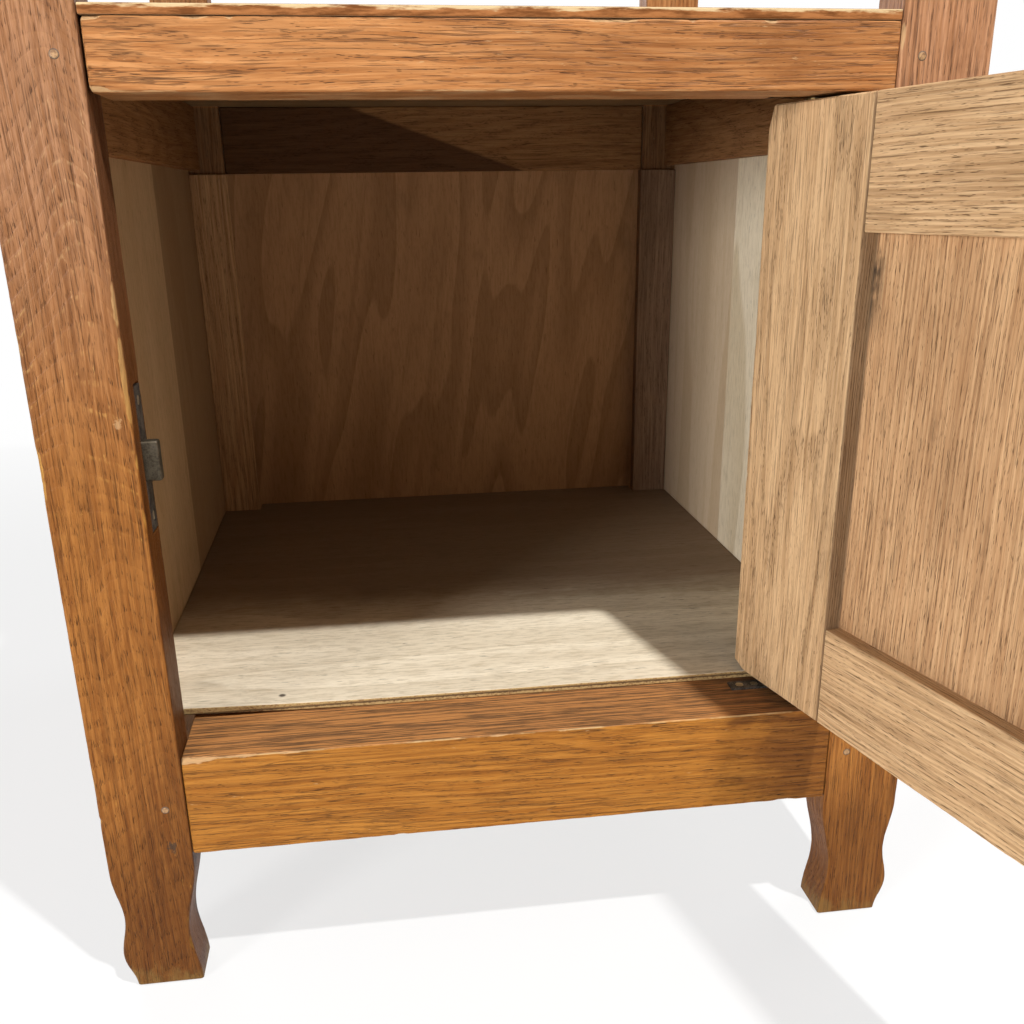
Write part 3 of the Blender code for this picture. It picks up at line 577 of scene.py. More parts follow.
def ply(
    piece, seed, grain, light, dark, figure_size=(9, 9, 1.6), bands=3.0, lean=0.0, marks=(), flecked=0.5
):
    """Gives a sheet its rotary-cut face: slow flame figure, fine fibre and small specks."""
    tree, shader = new_material(piece, "ply")
    own = own_place(tree, grain, CABINET_SPACE)
    place = vector("ADD", own, random_shift(seed, 5))
    across, deep, along = split(place)
    leaning = out(tree, "ShaderNodeCombineXYZ", {0: along * -lean + across, 1: deep, 2: along})
    flame = (cloud(leaning, figure_size, 2, 0.4) * (bands * 2)).math("FRACT")
    flame = between(flame, 0.0, 0.75) * between(flame, 1.0, 0.94)
    fibre = cloud(place, (900, 900, 16), 3, 0.6)
    broad = cloud(leaning, (110, 110, 5), 3, 0.55)
    fleck = cloud(place, (520, 520, 75), 3, 0.6)
    blotch_noise = cloud(place, (22, 22, 14), 4, 0.6)
    pores = dashes(place, (950, 950, 70), 0.12, 0.26)
    mottle = cloud(place, (420, 420, 70), 4, 0.7)
    middle = tuple((a + b) / 2 for a, b in zip(light, dark))
    deepest = tuple(part * 0.4 for part in dark)
    colour = blend(flame, dark, light)
    colour = blend(between(fibre, 0.35, 0.7, 0.55), colour, middle)
    colour = blend(between(broad, 0.50, 0.70, 0.55), colour, dark)
    colour = tint(between(mottle, 0.44, 0.66, flecked), colour, MOTTLE)
    colour = blend(pores * (1.2 * flecked), colour, dark)
    colour = blend(between(fleck, 0.62, 0.72, flecked), colour, deepest)
    colour = blend(between(blotch_noise, 0.56, 0.76, 0.3), colour, deepest)
    for mark in marks:
        colour = mark(own, colour, blotch_noise)
    rough = fleck * 0.2 + 0.62
    put_all(shader, {"Base Color": colour, "Roughness": rough, "Specular IOR Level": PLY_SPECULAR})
    put_bump(shader, pores * -0.6 + fibre * 0.6, 0.5, 0.4 * MM)


def metal(name, clean, tarnish, rust, rough, worn):
    """Old metal: tarnish over a base that shows where it is rubbed, with specks of rust."""
    made = bpy.data.materials.new(name)
    made.use_nodes = True
    shader = made.node_tree.nodes["Principled BSDF"]
    place = here(made.node_tree)
    broad = cloud(place, (140, 140, 140), 4, 0.6)
    fine = cloud(place, (900, 900, 900), 3, 0.6)
    brushed = cloud(place, (1600, 1600, 220), 2, 0.6)
    mixed = fine * 0.5 + broad * 0.7
    colour = blend(between(mixed, worn - 0.2, worn + 0.22), tarnish, clean)
    spots = between(fine * broad, 0.31, 0.37)
    colour = blend(spots, colour, rust)
    colour = blend(between(brushed, 0.4, 0.75, 0.35), colour, clean)
    metallic = between(spots, 1.0, 0.0, 0.95, 0.25)
    put_all(shader, {"Base Color": colour, "Metallic": metallic, "Roughness": brushed * 0.3 + rough})
    put_bump(shader, mixed, 0.35, 0.15 * MM)
    return made


# Cabinet

LEFT_POST = node_box("front_left_post")
RIGHT_POST = node_box("front_right_post")
REAR_POST = node_box("rear_left_post")
INNER_LEFT = LEFT_POST[1].x
INNER_RIGHT = RIGHT_POST[0].x
POST_BACK = LEFT_POST[1].y
REAR_FRONT = REAR_POST[0].y
FRONT_FACE = LEFT_POST[0].y
FLOOR_LOW, FLOOR_HIGH = node_box("floor_board")
SHELF_LOW, SHELF_HIGH = node_box("shelf_board")
JOINT_GAP = 0.35 * MM
DOOR_JOINT_GAP = 0.7 * MM
FOOT_HEIGHT = 90 * MM
FOOT_SMOOTHING = 2.5 * MM
MORTISE_MARGIN = Vector((0.6, 1.0, 1.6)) * MM
FRONT_SPOT = (1.0, 0.0, 0.7)
LEVEL_SPOT = (1.0, 1.0, 0.0)

# Tints that darken the varnish, the first two partly and the third wholly painted shade, and colours
# that cover it, the last of them a painted shadow
FOOT_GRIME_AND_SHADE_TINT = (0.49, 0.44, 0.36)
GOLDEN_SHADE_TINT = (0.88, 0.68, 0.22)
INNER_FACE_SHADE_TINT = (0.45, 0.38, 0.34)
DULL_TINT = (0.62, 0.74, 0.95)
SILL_END_TINT = (0.50, 0.45, 0.50)
TOE_GREY = (0.23, 0.17, 0.115)
SILL_EDGE = (0.55, 0.36, 0.165)
RAIL_SHADOW_COLOUR = (0.060, 0.025, 0.012)

# Broken edges that show in particular: edge, metres along it, and reach and depth in millimetres
BROKEN = {
    "front_left_post": (
        (3, 0.375, 26, 2.4), (3, 0.415, 14, 1.4), (3, 0.300, 10, 1.2),
        (2, 0.465, 12, 2.0), (2, 0.330, 16, 1.4),
    ),
    "front_bottom_rail": ((2, 0.002, 22, 3.4), (2, 0.034, 12, 1.5), (1, 0.004, 16, 2.2)),
    "front_header_rail": ((2, 0.001, 9, 2.0), (3, 0.002, 8, 2.4), (2, 0.250, 14, 1.3)),
}


def foot_profile(node):
    """How far a post reaches to the left and right at a height, read from its sawn outline."""
    low, high = node_box(node)
    middle = (low.x + high.x) / 2
    rows = {}
    for vertex in frame["nodes"][node].data.vertices:
        if vertex.co.z < FOOT_HEIGHT:
            rows.setdefault(round(vertex.co.z, 5), []).append(vertex.co.x)
    left = {z: min(places) for z, places in rows.items() if min(places) < middle}
    right = {z: max(places) for z, places in rows.items() if max(places) > middle}
    sides = ([*sorted(left.items()), (high.z, low.x)], [*sorted(right.items()), (high.z, high.x)])

    def edge(known, z):
        for (z0, x0), (z1, x1) in zip(known, known[1:]):
            if z <= z1:
                return x0 + (x1 - x0) * min(1.0, max(0.0, (z - z0) / (z1 - z0)))
        return known[-1][1]

    def smooth(z):
        near = (max(z - FOOT_SMOOTHING, 0.0), z, z + FOOT_SMOOTHING)
        return tuple(sum(edge(known, height) for height in near) / len(near) for known in sides)

    return smooth


def foot_grime_and_shade(own, colour, blotch_noise):
    """The feet are darker than the posts, partly grime and partly painted shade, and scuffed grey at the
    toe.
    """
    height = (blotch_noise - 0.5) * 0.08 + split(own)[2]
    colour = tint(between(height, 0.155, 0.045, 0.9), colour, FOOT_GRIME_AND_SHADE_TINT)
    return blend(between(height, 0.016, 0.002, 0.5), colour, TOE_GREY)


def spot(target, weights, size, paint, share, core, ragged=0.0):
    """A mark about a target, on the face that the weights keep, with a core and a ragged rim."""

    def mark(own, colour, blotch_noise):
        place = here(own.tree)
        rim = (cloud(place, (260, 260, 260), 3, 0.7) - 0.5) * (ragged * size)
        away = rim + distance(place, weights, target)
        return blend(between(away, size, size * core, share), colour, paint)

    return mark


def along_axis(axis, start, end, share, paint, mix=blend):
    """Paint or a tint that comes in along one axis of a piece's own frame."""

    def mark(own, colour, blotch_noise):
        return mix(between(split(own)[axis], start, end, share), colour, paint)

    return mark


def golden_and_shaded_below(height, reach):
    """A front post's varnish turns golden and darker towards its foot; the darkening is painted shade."""
    return along_axis(2, height + reach, height - reach, 0.9, GOLDEN_SHADE_TINT, tint)


def dull_inside(own, colour, blotch_noise):
    """A rear post's varnish has gone where it stands inside the cupboard."""
    x, y, z = split(own)
    above = between(z, FLOOR_HIGH.z - 2 * MM, FLOOR_HIGH.z)
    below = between(z, SHELF_LOW.z, SHELF_LOW.z - 2 * MM)
    front = between(y, REAR_FRONT + 1.6 * MM, REAR_FRONT + 0.8 * MM)
    side = between(abs(x), INNER_RIGHT + 1.6 * MM, INNER_RIGHT + 0.8 * MM)
    return tint(above * below * front.math("MAXIMUM", side), colour, DULL_TINT)


def cut_catch_mortise(post):
    """The mortises that hold the catch's plate and its tongue."""
    plate = node_box("catch_plate")
    tongue = node_box("catch_tongue")
    open_side = Vector((2 * MM, MORTISE_MARGIN.y, MORTISE_MARGIN.z))
    cut(post, "plate_mortise", plate[0] - MORTISE_MARGIN, plate[1] + open_side)
    cut(post, "tongue_mortise", tongue[0] - MORTISE_MARGIN / 2, tongue[1] + MORTISE_MARGIN / 2)


def make_posts():
    # Painted shade on the left post's inner side face and the arris beside it
    shaded_inner_face = along_axis(0, INNER_LEFT - 0.8 * MM, INNER_LEFT - 0.1 * MM, 0.85, INNER_FACE_SHADE_TINT, tint)
    left_marks = (
        foot_grime_and_shade, golden_and_shaded_below(0.40, 0.10), shaded_inner_face,
        spot((-0.2075, 0.0, 0.355), FRONT_SPOT, 2.2 * MM, WORN, 0.45, 0.6, 3.0),
        spot((-0.2115, 0.0, 0.0985), FRONT_SPOT, 3 * MM, DIRT, 0.8, 0.6, 3.0),
    )
    rear_marks = (foot_grime_and_shade, dull_inside)
    looks = {
        "front_left_post": dict(
            seed=11, finished=RED_VARNISH, pith=(-0.222, -0.165), tilt=(0.01, -0.13),
            # its pale arches are worn varnish and a painted highlight
            spacing=1.2 * MM, wobble=0.03, cracked=0.25, wear_and_highlight_arches=(0.40, 0.13, 0.55), marks=left_marks,
        ),
        "front_right_post": dict(
            seed=12, finished=FADED_VARNISH, pith=(0.30, -0.20), tilt=(0.03, 0.02),
            spacing=2.2 * MM, marks=(foot_grime_and_shade, golden_and_shaded_below(0.38, 0.10)),
        ),
        "rear_left_post": dict(seed=13, pith=(-0.30, 0.31), tilt=(-0.02, 0.03), marks=rear_marks),
        "rear_right_post": dict(seed=14, pith=(0.19, 0.33), tilt=(0.02, 0.02), marks=rear_marks),
    }
    for node, look in looks.items():
        piece = member(
            node, *node_box(node), "z", radius=1.3 * MM, worn=0.8,
            profile=foot_profile(node), broken=BROKEN.get(node, ()),
        )
        if node == "front_left_post":
            cut_catch_mortise(piece)
        oak(piece, "z", **look)


def sill_top(own, colour, blotch_noise):
    """The sill's light, cracked upper face and pale front edge, and its right end darker."""
    place = here(own.tree)
    x, y, z = split(place)
    top = node_box("front_bottom_rail")[1].z
    crack = between(abs(cloud(place, (9, 330, 330), 4, 0.65) - 0.5), 0.07, 0.01)
    on_top = between(z, top - 0.9 * MM, top - 0.2 * MM)
    colour = blend(on_top * 0.7, colour, VARNISH.light)
    colour = blend(on_top * (crack * 0.75), colour, DIRT)
    jittered_x = (blotch_noise - 0.5) * 0.15 + x
    right = between(jittered_x, INNER_RIGHT - 70 * MM, INNER_RIGHT - 25 * MM, 0.75)
    colour = tint(right, colour, SILL_END_TINT)
    front = between(y, FRONT_FACE + 1.5 * MM, FRONT_FACE + 0.6 * MM)
    high = between(z, top - 1.3 * MM, top - 0.6 * MM)
    return blend(front * high * between(blotch_noise, 0.42, 0.58, 0.85), colour, SILL_EDGE)


def painted_rail_shadow(own, colour, blotch_noise):
    """A painted shadow on the inner face of the back rail's left part, up to a slanting edge."""
    low, high = node_box("back_middle_rail")
    x, y, z = split(here(own.tree))
    slant = 166 * MM / (high.z - low.z)
    middle = slant * (low.z + high.z) / 2
    share = between(z * slant + x, middle + 5 * MM, middle - 5 * MM, 0.8)
    face = between(y, low.y + 3 * MM, low.y + 1 * MM)
    return blend(share * face, colour, RAIL_SHADOW_COLOUR)


def make_front_rails():
    looks = {
        "front_bottom_rail": dict(
            seed=21, finished=GOLD_VARNISH, pith=(-0.16, -0.20), tilt=(0.0, 0.012),
            spacing=2.0 * MM, cracked=0.45, marks=(sill_top,),
        ),
        "front_header_rail": dict(
            seed=22, pith=(-0.56, -0.19), tilt=(0.006, 0.02), spacing=2.8 * MM, wobble=0.03, cracked=0.5,
        ),
        "front_upper_rail": dict(seed=23, pith=(-1.02, -0.20), tilt=(0.0, 0.02), cracked=0.5),
    }
    for node, look in looks.items():
        low, high = node_box(node)
        low.x = INNER_LEFT + JOINT_GAP
        high.x = INNER_RIGHT - JOINT_GAP
        raw = (0.0, 1.0, 0.0, 0.0)
        if node == "front_header_rail":
            low.x += 1.0 * MM
            raw = (0.44, 1.0, 0.2, 0.0)
        piece = member(node, low, high, "x", worn=1.2, raw=raw, broken=BROKEN.get(node, ()))
        oak(piece, "x", **look)


def make_other_rails():
    """The side and back rails of each ring, stopped at the posts' faces."""
    seed = 30
    for ring in ("bottom", "middle", "upper"):
        for side in ("left", "right", "back"):
            node = f"{side}_{ring}_rail"
            low, high = node_box(node)
            seed += 1
            if side == "back":
                grain, raw, pith = "x", (0.3, 0.0, 0.3, 1.0), (-0.50, 0.34)
                low.x = INNER_LEFT + JOINT_GAP
                high.x = INNER_RIGHT - JOINT_GAP
            else:
                grain = "y"
                low.y = POST_BACK + JOINT_GAP
                high.y = REAR_FRONT - JOINT_GAP
                raw = (0.3, 1.0, 0.3, 0.0) if side == "left" else (0.3, 0.0, 0.3, 1.0)
                pith = (0.5, -0.32 if side == "left" else 0.32)
            piece = member(node, low, high, grain, worn=0.8, raw=raw)
            # The back middle rail carries a painted shadow
            marks = (painted_rail_shadow,) if node == "back_middle_rail" else ()
            oak(piece, grain, seed, bare=DULL_BARE, pith=pith, tilt=(0.0, 0.03), marks=marks)


def make_top():
    piece = member("top_board", *node_box("top_board"), "x", radius=5 * MM, worn=0.45, step=5 * MM)
    oak(piece, "x", 51, RED_VARNISH, pith=(-0.93, 0.04), tilt=(0.06, 0.01), wobble=0.035, cracked=0.7)


def make_cleats():
    for seed, node in enumerate(("rear_left_cleat", "rear_right_cleat"), 61):
        low, high = node_box(node)
        piece = member(node, low, high, "z", radius=0.7 * MM, worn=0.5, raw=(1, 1, 1, 1))
        tone = PANEL_BARE if low.x < 0 else GREY_BARE
        oak(piece, "z", seed, bare=tone, pith=(low.x, 0.29), tilt=(0.02, 0.0))


# Panels, floor and shelf

CREAM = (0.660, 0.540, 0.360)
# Partly painted light: the right sheet's pale front
PALE_CREAM_AND_PAINTED_LIGHT = (0.860, 0.755, 0.570)
TAN = (0.660, 0.475, 0.285)
SAND = (0.540, 0.365, 0.205)
GREY_CREAM = (0.800, 0.710, 0.550)
GREY_SAND = (0.650, 0.560, 0.415)
PINK_BROWN = (0.520, 0.290, 0.142)
WALNUT = (0.375, 0.198, 0.090)
SHELF_LIGHT = (0.40, 0.27, 0.14)
SHELF_DARK = (0.24, 0.13, 0.06)
BEHIND_LEFT = (0.260, 0.150, 0.076)
# Partly painted shade: the right sheet's browner back
BEHIND_RIGHT_AND_PAINTED_SHADE = (0.470, 0.320, 0.190)
LIGHT_STAIN = (0.50, 0.26, 0.10)
DARK_STAIN = (0.27, 0.12, 0.042)
# The colour of the floor's painted shade
FLOOR_SHADE_BROWN = (0.150, 0.085, 0.043)
PALE_PLY = (0.44, 0.30, 0.13)
SPECK_PLY = (0.24, 0.135, 0.055)
DARK_PLY = (0.075, 0.042, 0.020)
BARE_SHELF = (0.56, 0.41, 0.22)
SIDE_JOINT = 55 * MM
SHEET_STEP = 10 * MM
SHEET_EASE = 0.7 * MM
WARP = 3.6 * MM
WARP_REACH_X = 0.15
WARP_REACH_Y = 0.22


def side_faces(middle, behind):
    """A side sheet: stained outside, bare inside and there browner behind a straight joint.

    On the right sheet that browner back is partly painted shade.
    """

    def mark(own, colour, blotch_noise):
        x, y, _ = split(own)
        rear = between(y, SIDE_JOINT - 1 * MM, SIDE_JOINT + 1 * MM, 0.62)
        inside = blend(rear, colour, behind)
        streaks = cloud(own, (70, 70, 3), 4, 0.6)
        stain = blend(between(streaks, 0.3, 0.7), LIGHT_STAIN, DARK_STAIN)
        outside = tint(1.0, colour, stain)
        return blend(between(abs(x), middle - 1 * MM, middle + 1 * MM), inside, outside)

    return mark


def make_panels():
    middle = abs(sum(corner.x for corner in node_box("left_side_panel"))) / 2
    side = dict(figure_size=(11, 11, 1.5), bands=1.6)
    left_faces = side_faces(middle, BEHIND_LEFT)
    right_faces = side_faces(middle, BEHIND_RIGHT_AND_PAINTED_SHADE)
    looks = {
        "left_side_panel": dict(seed=71, light=TAN, dark=SAND, marks=(left_faces,), **side),
        # The right sheet's pale front is partly painted light, and its browner back partly painted shade
        "right_side_panel": dict(seed=72, light=PALE_CREAM_AND_PAINTED_LIGHT, dark=CREAM, marks=(right_faces,), **side),
        "back_panel": dict(
            seed=73, light=PINK_BROWN, dark=WALNUT, figure_size=(11, 11, 1.7), bands=5.0, lean=0.16,
        ),
    }
    for node, look in looks.items():
        piece = member(node, *node_box(node), "z", radius=0.4 * MM, worn=0.1, step=12 * MM)
        ply(piece, grain="z", **look)


def sheet_mesh(name, xs, ys, inside, low_z, high_z, lift):
    """A sheet over the cells of a grid that lie inside its outline, lifted where it has warped."""
    shape = bmesh.new()
    grid = [[shape.verts.new((x, y, low_z + lift(x, y))) for y in ys] for x in xs]
    for i in range(len(xs) - 1):
        for j in range(len(ys) - 1):
            if inside((xs[i] + xs[i + 1]) / 2, (ys[j] + ys[j + 1]) / 2):
                shape.faces.new((grid[i][j], grid[i + 1][j], grid[i + 1][j + 1], grid[i][j + 1]))
    loose = [vertex for vertex in shape.verts if not vertex.link_faces]
    bmesh.ops.delete(shape, geom=loose, context="VERTS")
    raised = bmesh.ops.extrude_face_region(shape, geom=shape.faces[:])["geom"]
    raised = [item for item in raised if isinstance(item, bmesh.types.BMVert)]
    bmesh.ops.translate(shape, verts=raised, vec=(0.0, 0.0, high_z - low_z))
    bmesh.ops.recalc_face_normals(shape, faces=shape.faces)
    return mesh_of(name, shape)


def grid_lines(low, high, *stops):
    """Lines about a step apart between two ends, with a line at each stop."""
    count = max(1, round((high - low) / SHEET_STEP))
    lines = {round(low + (high - low) * i / count, 6) for i in range(count + 1)}
    lines = {line for line in lines if all(abs(line - stop) > SHEET_STEP / 3 for stop in stops)}
    return sorted(lines | {round(stop, 6) for stop in stops} | {round(low, 6), round(high, 6)})


def sheet(node, notched_front, lift):
    """A sheet notched round the four posts, or round the two cleats at its back."""
    low, high = node_box(node)
    cleat = node_box("rear_right_cleat")[0]
    side = (INNER_RIGHT if notched_front else cleat.x) - JOINT_GAP
    rear = (REAR_FRONT if notched_front else cleat.y) - JOINT_GAP
    front = POST_BACK + JOINT_GAP

    def inside(x, y):
        return abs(x) < side or (y < rear and not (notched_front and y < front))

    xs = grid_lines(low.x, high.x, -side, side)
    ys = grid_lines(low.y, high.y, *((front, rear) if notched_front else (rear,)))
    mesh = sheet_mesh(f"{node}_sheet", xs, ys, inside, low.z, high.z, lift)
    piece = new_piece(f"{node}_sheet", mesh, "cabinet", node)
    ease(piece, SHEET_EASE)
    return piece


def warped(x, y):
    """The floor's front left corner has come up off the sill."""
    left = max(0.0, 1 - (x - FLOOR_LOW.x) / WARP_REACH_X)
    front = max(0.0, 1 - (y - FLOOR_LOW.y) / WARP_REACH_Y)
    return WARP * left ** 1.4 * front ** 1.5


def flat(x, y):
    return 0.0


def facing_front(tree, start, full):
    """1 on the faces whose normals point to the front, from a start to a full depth."""
    return between(split(here(tree, "Normal"))[1], start, full)


def ply_edge(own, colour, blotch_noise):
    """The cut front edge of a sheet: pale plies over and under a dark one, with dark specks."""
    place = here(own.tree)
    speck = cloud(place, (500, 500, 900), 3, 0.65)
    edge = blend(between(speck, 0.44, 0.66), PALE_PLY, SPECK_PLY)
    z = (speck - 0.5) * (2 * MM) + split(place)[2]
    middle = (FLOOR_LOW.z + FLOOR_HIGH.z) / 2 + 0.4 * MM
    edge = blend(between(abs(z - middle), 1.0 * MM, 0.4 * MM, 0.85), edge, DARK_PLY)
    return blend(facing_front(own.tree, -0.5, -0.85), colour, edge)


def shelf_edge(own, colour, blotch_noise):
    """The shelf's front edge: old varnish, chipped pale along the top."""
    place = here(own.tree)
    broken = cloud(place, (45, 45, 300), 4, 0.7)
    height = broken * (9 * MM) + split(place)[2]
    edge = blend(between(broken, 0.35, 0.6), GOLD_VARNISH.dark, VARNISH.middle)
    edge = blend(between(height, SHELF_HIGH.z + 2.6 * MM, SHELF_HIGH.z + 4.2 * MM), edge, BARE_SHELF)
    return blend(facing_front(own.tree, -0.4, -0.7), colour, edge)


def painted_floor_shade(own, colour, blotch_noise):
    """Painted shade: the floor stays pale at the front and turns brown towards the back."""
    y = blotch_noise * 0.06 + split(here(own.tree))[1]
    return blend(between(y, -0.09, 0.02, 0.85), colour, FLOOR_SHADE_BROWN)


def make_sheets():
    floor = sheet("floor_board", False, warped)
    nail = spot((-0.145, FLOOR_LOW.y + 12 * MM, 0.0), LEVEL_SPOT, 3 * MM, DIRT, 0.9, 0.4)
    # The floor's browner back is painted shade
    marks = (nail, painted_floor_shade, ply_edge)
    ply(floor, 81, "x", GREY_CREAM, GREY_SAND, (16, 16, 1.6), 2.6, marks=marks, flecked=0.8)
    shelf = sheet("shelf_board", True, flat)
    ply(shelf, 82, "x", SHELF_LIGHT, SHELF_DARK, (10, 10, 1.4), 1.5, marks=(shelf_edge,))


# Door

HINGE_STILE = node_box("door_hinge_stile", DOOR_SPACE)
LATCH_STILE = node_box("door_latch_stile", DOOR_SPACE)
DOOR_PANEL = node_box("door_panel", DOOR_SPACE)
RECESS = HINGE_STILE[0].x
VARNISH_DEPTH = 0.5 * MM
RECESS_DIRT = (0.10, 0.058, 0.032)
NOTCH_MARGIN = 1.5 * MM
CUTTER_REACH = 5 * MM
CORNER_CUTTER = 50 * MM


def panel_smudges(own, colour, blotch_noise):
    """Dirt that has gathered at the panel's hinge side, near its top."""
    x, _, z = split(own)
    high = DOOR_PANEL[1].z
    near = between(x, RECESS - 12 * MM, RECESS - 1 * MM)
    up = between(z, high - 70 * MM, high - 25 * MM)
    return blend(near * up * between(blotch_noise, 0.38, 0.56), colour, DIRT)


def cut_hinge_corners(stile):
    """The two corners that are cut back at the hinge edge, and the leaf let into the top."""
    low, high = HINGE_STILE
    leaf = node_box("upper_door_hinge_leaf", DOOR_SPACE)
    margin = Vector((0.4, 0.4, 0.4)) * MM
    cut(stile, "leaf_recess", leaf[0] - margin, leaf[1] + Vector((0.4, 0.4, 3.0)) * MM, DOOR_SPACE)
    corners = ((low.z, 13 * MM, 5.5 * MM, 1), (high.z, 5 * MM, 15 * MM, -1))
    size = CORNER_CUTTER
    for number, (z, width, height, way) in enumerate(corners):
        slope = math.atan2(height, width)
        turn = Matrix.Translation((high.x - width, 0.0, z)) @ Matrix.Rotation(-way * slope, 4, "Y")
        start = (-size, -size, -size if way > 0 else 0.0)
        end = (size, size, 0.0 if way > 0 else size)
        cut(stile, f"hinge_corner_{number}", start, end, DOOR_SPACE @ turn)


def cut_catch_notch(stile):
    """The notch in the free edge that clears the catch's tongue."""
    tongue = node_box("catch_tongue")
    reach = tongue[1].x - INNER_LEFT
    low, high = LATCH_STILE
    start = (low.x - CUTTER_REACH, low.y - CUTTER_REACH, tongue[0].z - NOTCH_MARGIN)
    end = (low.x + reach - 0.5 * MM, high.y + CUTTER_REACH, tongue[1].z + NOTCH_MARGIN)
    cut(stile, "catch_notch", start, end, DOOR_SPACE)


def make_door():
    """The door's frame and panel: bare on the inside and at the edges, varnished on the outer face."""
    wood = dict(space=DOOR_SPACE, bare_from=HINGE_STILE[0].y + VARNISH_DEPTH)
    dirty_edge = along_axis(0, RECESS + 1.0 * MM, RECESS + 0.3 * MM, 0.6, RECESS_DIRT)
    dirty_line = along_axis(0, RECESS - 2.5 * MM, RECESS - 0.5 * MM, 0.6, DIRT)
    hinge = member("door_hinge_stile", *HINGE_STILE, "z", "door", DOOR_SPACE, worn=0.7)
    cut_hinge_corners(hinge)
    oak(
        hinge, "z", 91, pith=(-0.02, 0.22), tilt=(0.01, 0.004), spacing=1.7 * MM, marks=(dirty_edge,), **wood
    )
    latch = member("door_latch_stile", *LATCH_STILE, "z", "door", DOOR_SPACE, worn=0.7)
    cut_catch_notch(latch)
    oak(latch, "z", 92, pith=(-0.33, -0.18), tilt=(0.02, 0.01), spacing=2.0 * MM, **wood)
    for seed, node in enumerate(("door_top_rail", "door_bottom_rail"), 93):
        low, high = node_box(node, DOOR_SPACE)
        low.x = LATCH_STILE[1].x + DOOR_JOINT_GAP
        high.x = RECESS - DOOR_JOINT_GAP
        piece = member(node, low, high, "x", "door", DOOR_SPACE, worn=0.6)
        oak(piece, "x", seed, pith=(-low.z - 0.2, 0.25), tilt=(0.0, 0.01), spacing=1.7 * MM, **wood)
    panel = member(
        "door_panel", *DOOR_PANEL, "z", "door", DOOR_SPACE, radius=0.5 * MM, worn=0.1, step=10 * MM
    )
    oak(
        panel, "z", 97, space=DOOR_SPACE, bare=PANEL_BARE, pith=(-0.42, 0.30), tilt=(0.01, 0.005),
        spacing=2.2 * MM, bare_from=DOOR_PANEL[0].y + VARNISH_DEPTH, marks=(panel_smudges, dirty_line),
    )


# Hinges, catch, latch and pegs

SAME_POINT = 1e-6
MERGED_POINTS = 0.01 * MM
FLAT_ANGLE = math.radians(1)
METAL_SMOOTH_ANGLE = math.radians(30)
PEG_SIDES = 20
PEG_LIGHT = (0.40, 0.23, 0.10)
PEG_DARK = (0.19, 0.09, 0.036)

# A peg end's rings, from its hole's rim inwards: radius and height in millimetres, and how pale
PEG_RINGS = ((2.6, -0.25, 0.0), (2.3, 0.05, 0.0), (1.9, 0.16, 0.5), (1.5, 0.3, 1.0), (0.7, 0.36, 1.0))


def eased_copy(node, body, width, material):
    """A CAD piece with its sharp edges rounded."""
    mesh = frame["nodes"][node].data.copy()
    mesh.name = f"{node}_eased"
    shape = bmesh.new()
    shape.from_mesh(mesh)
    bmesh.ops.remove_doubles(shape, verts=shape.verts, dist=SAME_POINT)
    bmesh.ops.dissolve_limit(shape, angle_limit=FLAT_ANGLE, verts=shape.verts, edges=shape.edges)
    shape.to_mesh(mesh)
    shape.free()
    mesh.shade_smooth()
    mesh.set_sharp_from_angle(angle=METAL_SMOOTH_ANGLE)
    piece = new_piece(f"{node}_eased", mesh, body, node)
    ease(piece, width)
    weld = piece.modifiers.new("merged_points", "WELD")
    weld.merge_threshold = MERGED_POINTS
    cover(mesh, material)


def make_metal():
    steel = metal("old_steel", (0.30, 0.28, 0.25), (0.040, 0.032, 0.026), (0.11, 0.045, 0.018), 0.38, 0.66)
    brass = metal("old_brass", (0.42, 0.29, 0.12), (0.150, 0.095, 0.042), (0.09, 0.055, 0.026), 0.32, 0.62)
    bronze = metal(
        "old_bronze", (0.14, 0.115, 0.08), (0.045, 0.034, 0.022), (0.04, 0.026, 0.015), 0.42, 0.62
    )
    bright = metal("rubbed_screw", (0.62, 0.53, 0.36), (0.21, 0.15, 0.082), (0.09, 0.045, 0.018), 0.26, 0.52)
    finishes = {"screw": bright, "leaf": steel, "_pin": steel, "catch_plate": steel, "washer": brass}
    for node, item in frame["nodes"].items():
        finish = next((finish for word, finish in finishes.items() if word in node), None)
        if finish:
            cover(item.data, finish)
    eased_copy("catch_tongue", "cabinet", 0.3 * MM, bronze)
    eased_copy("latch_plate", "door", 0.7 * MM, brass)
    eased_copy("latch_lever", "latch", 0.8 * MM, brass)
    eased_copy("latch_nut", "door", 0.5 * MM, brass)
    eased_copy("latch_spindle", "door", 0.3 * MM, bronze)


def peg_wood(piece):
    tree, shader = new_material(piece, "peg")
    grain = cloud(here(tree), (900, 120, 900), 3, 0.6)
    wood = blend(between(grain, 0.4, 0.66), PEG_LIGHT, PEG_DARK)
    colour = blend(attribute(tree, "pale"), DIRT, wood)
    put_all(shader, {"Base Color": colour, "Roughness": grain * 0.2 + 0.5})
    return piece.data.materials[0]


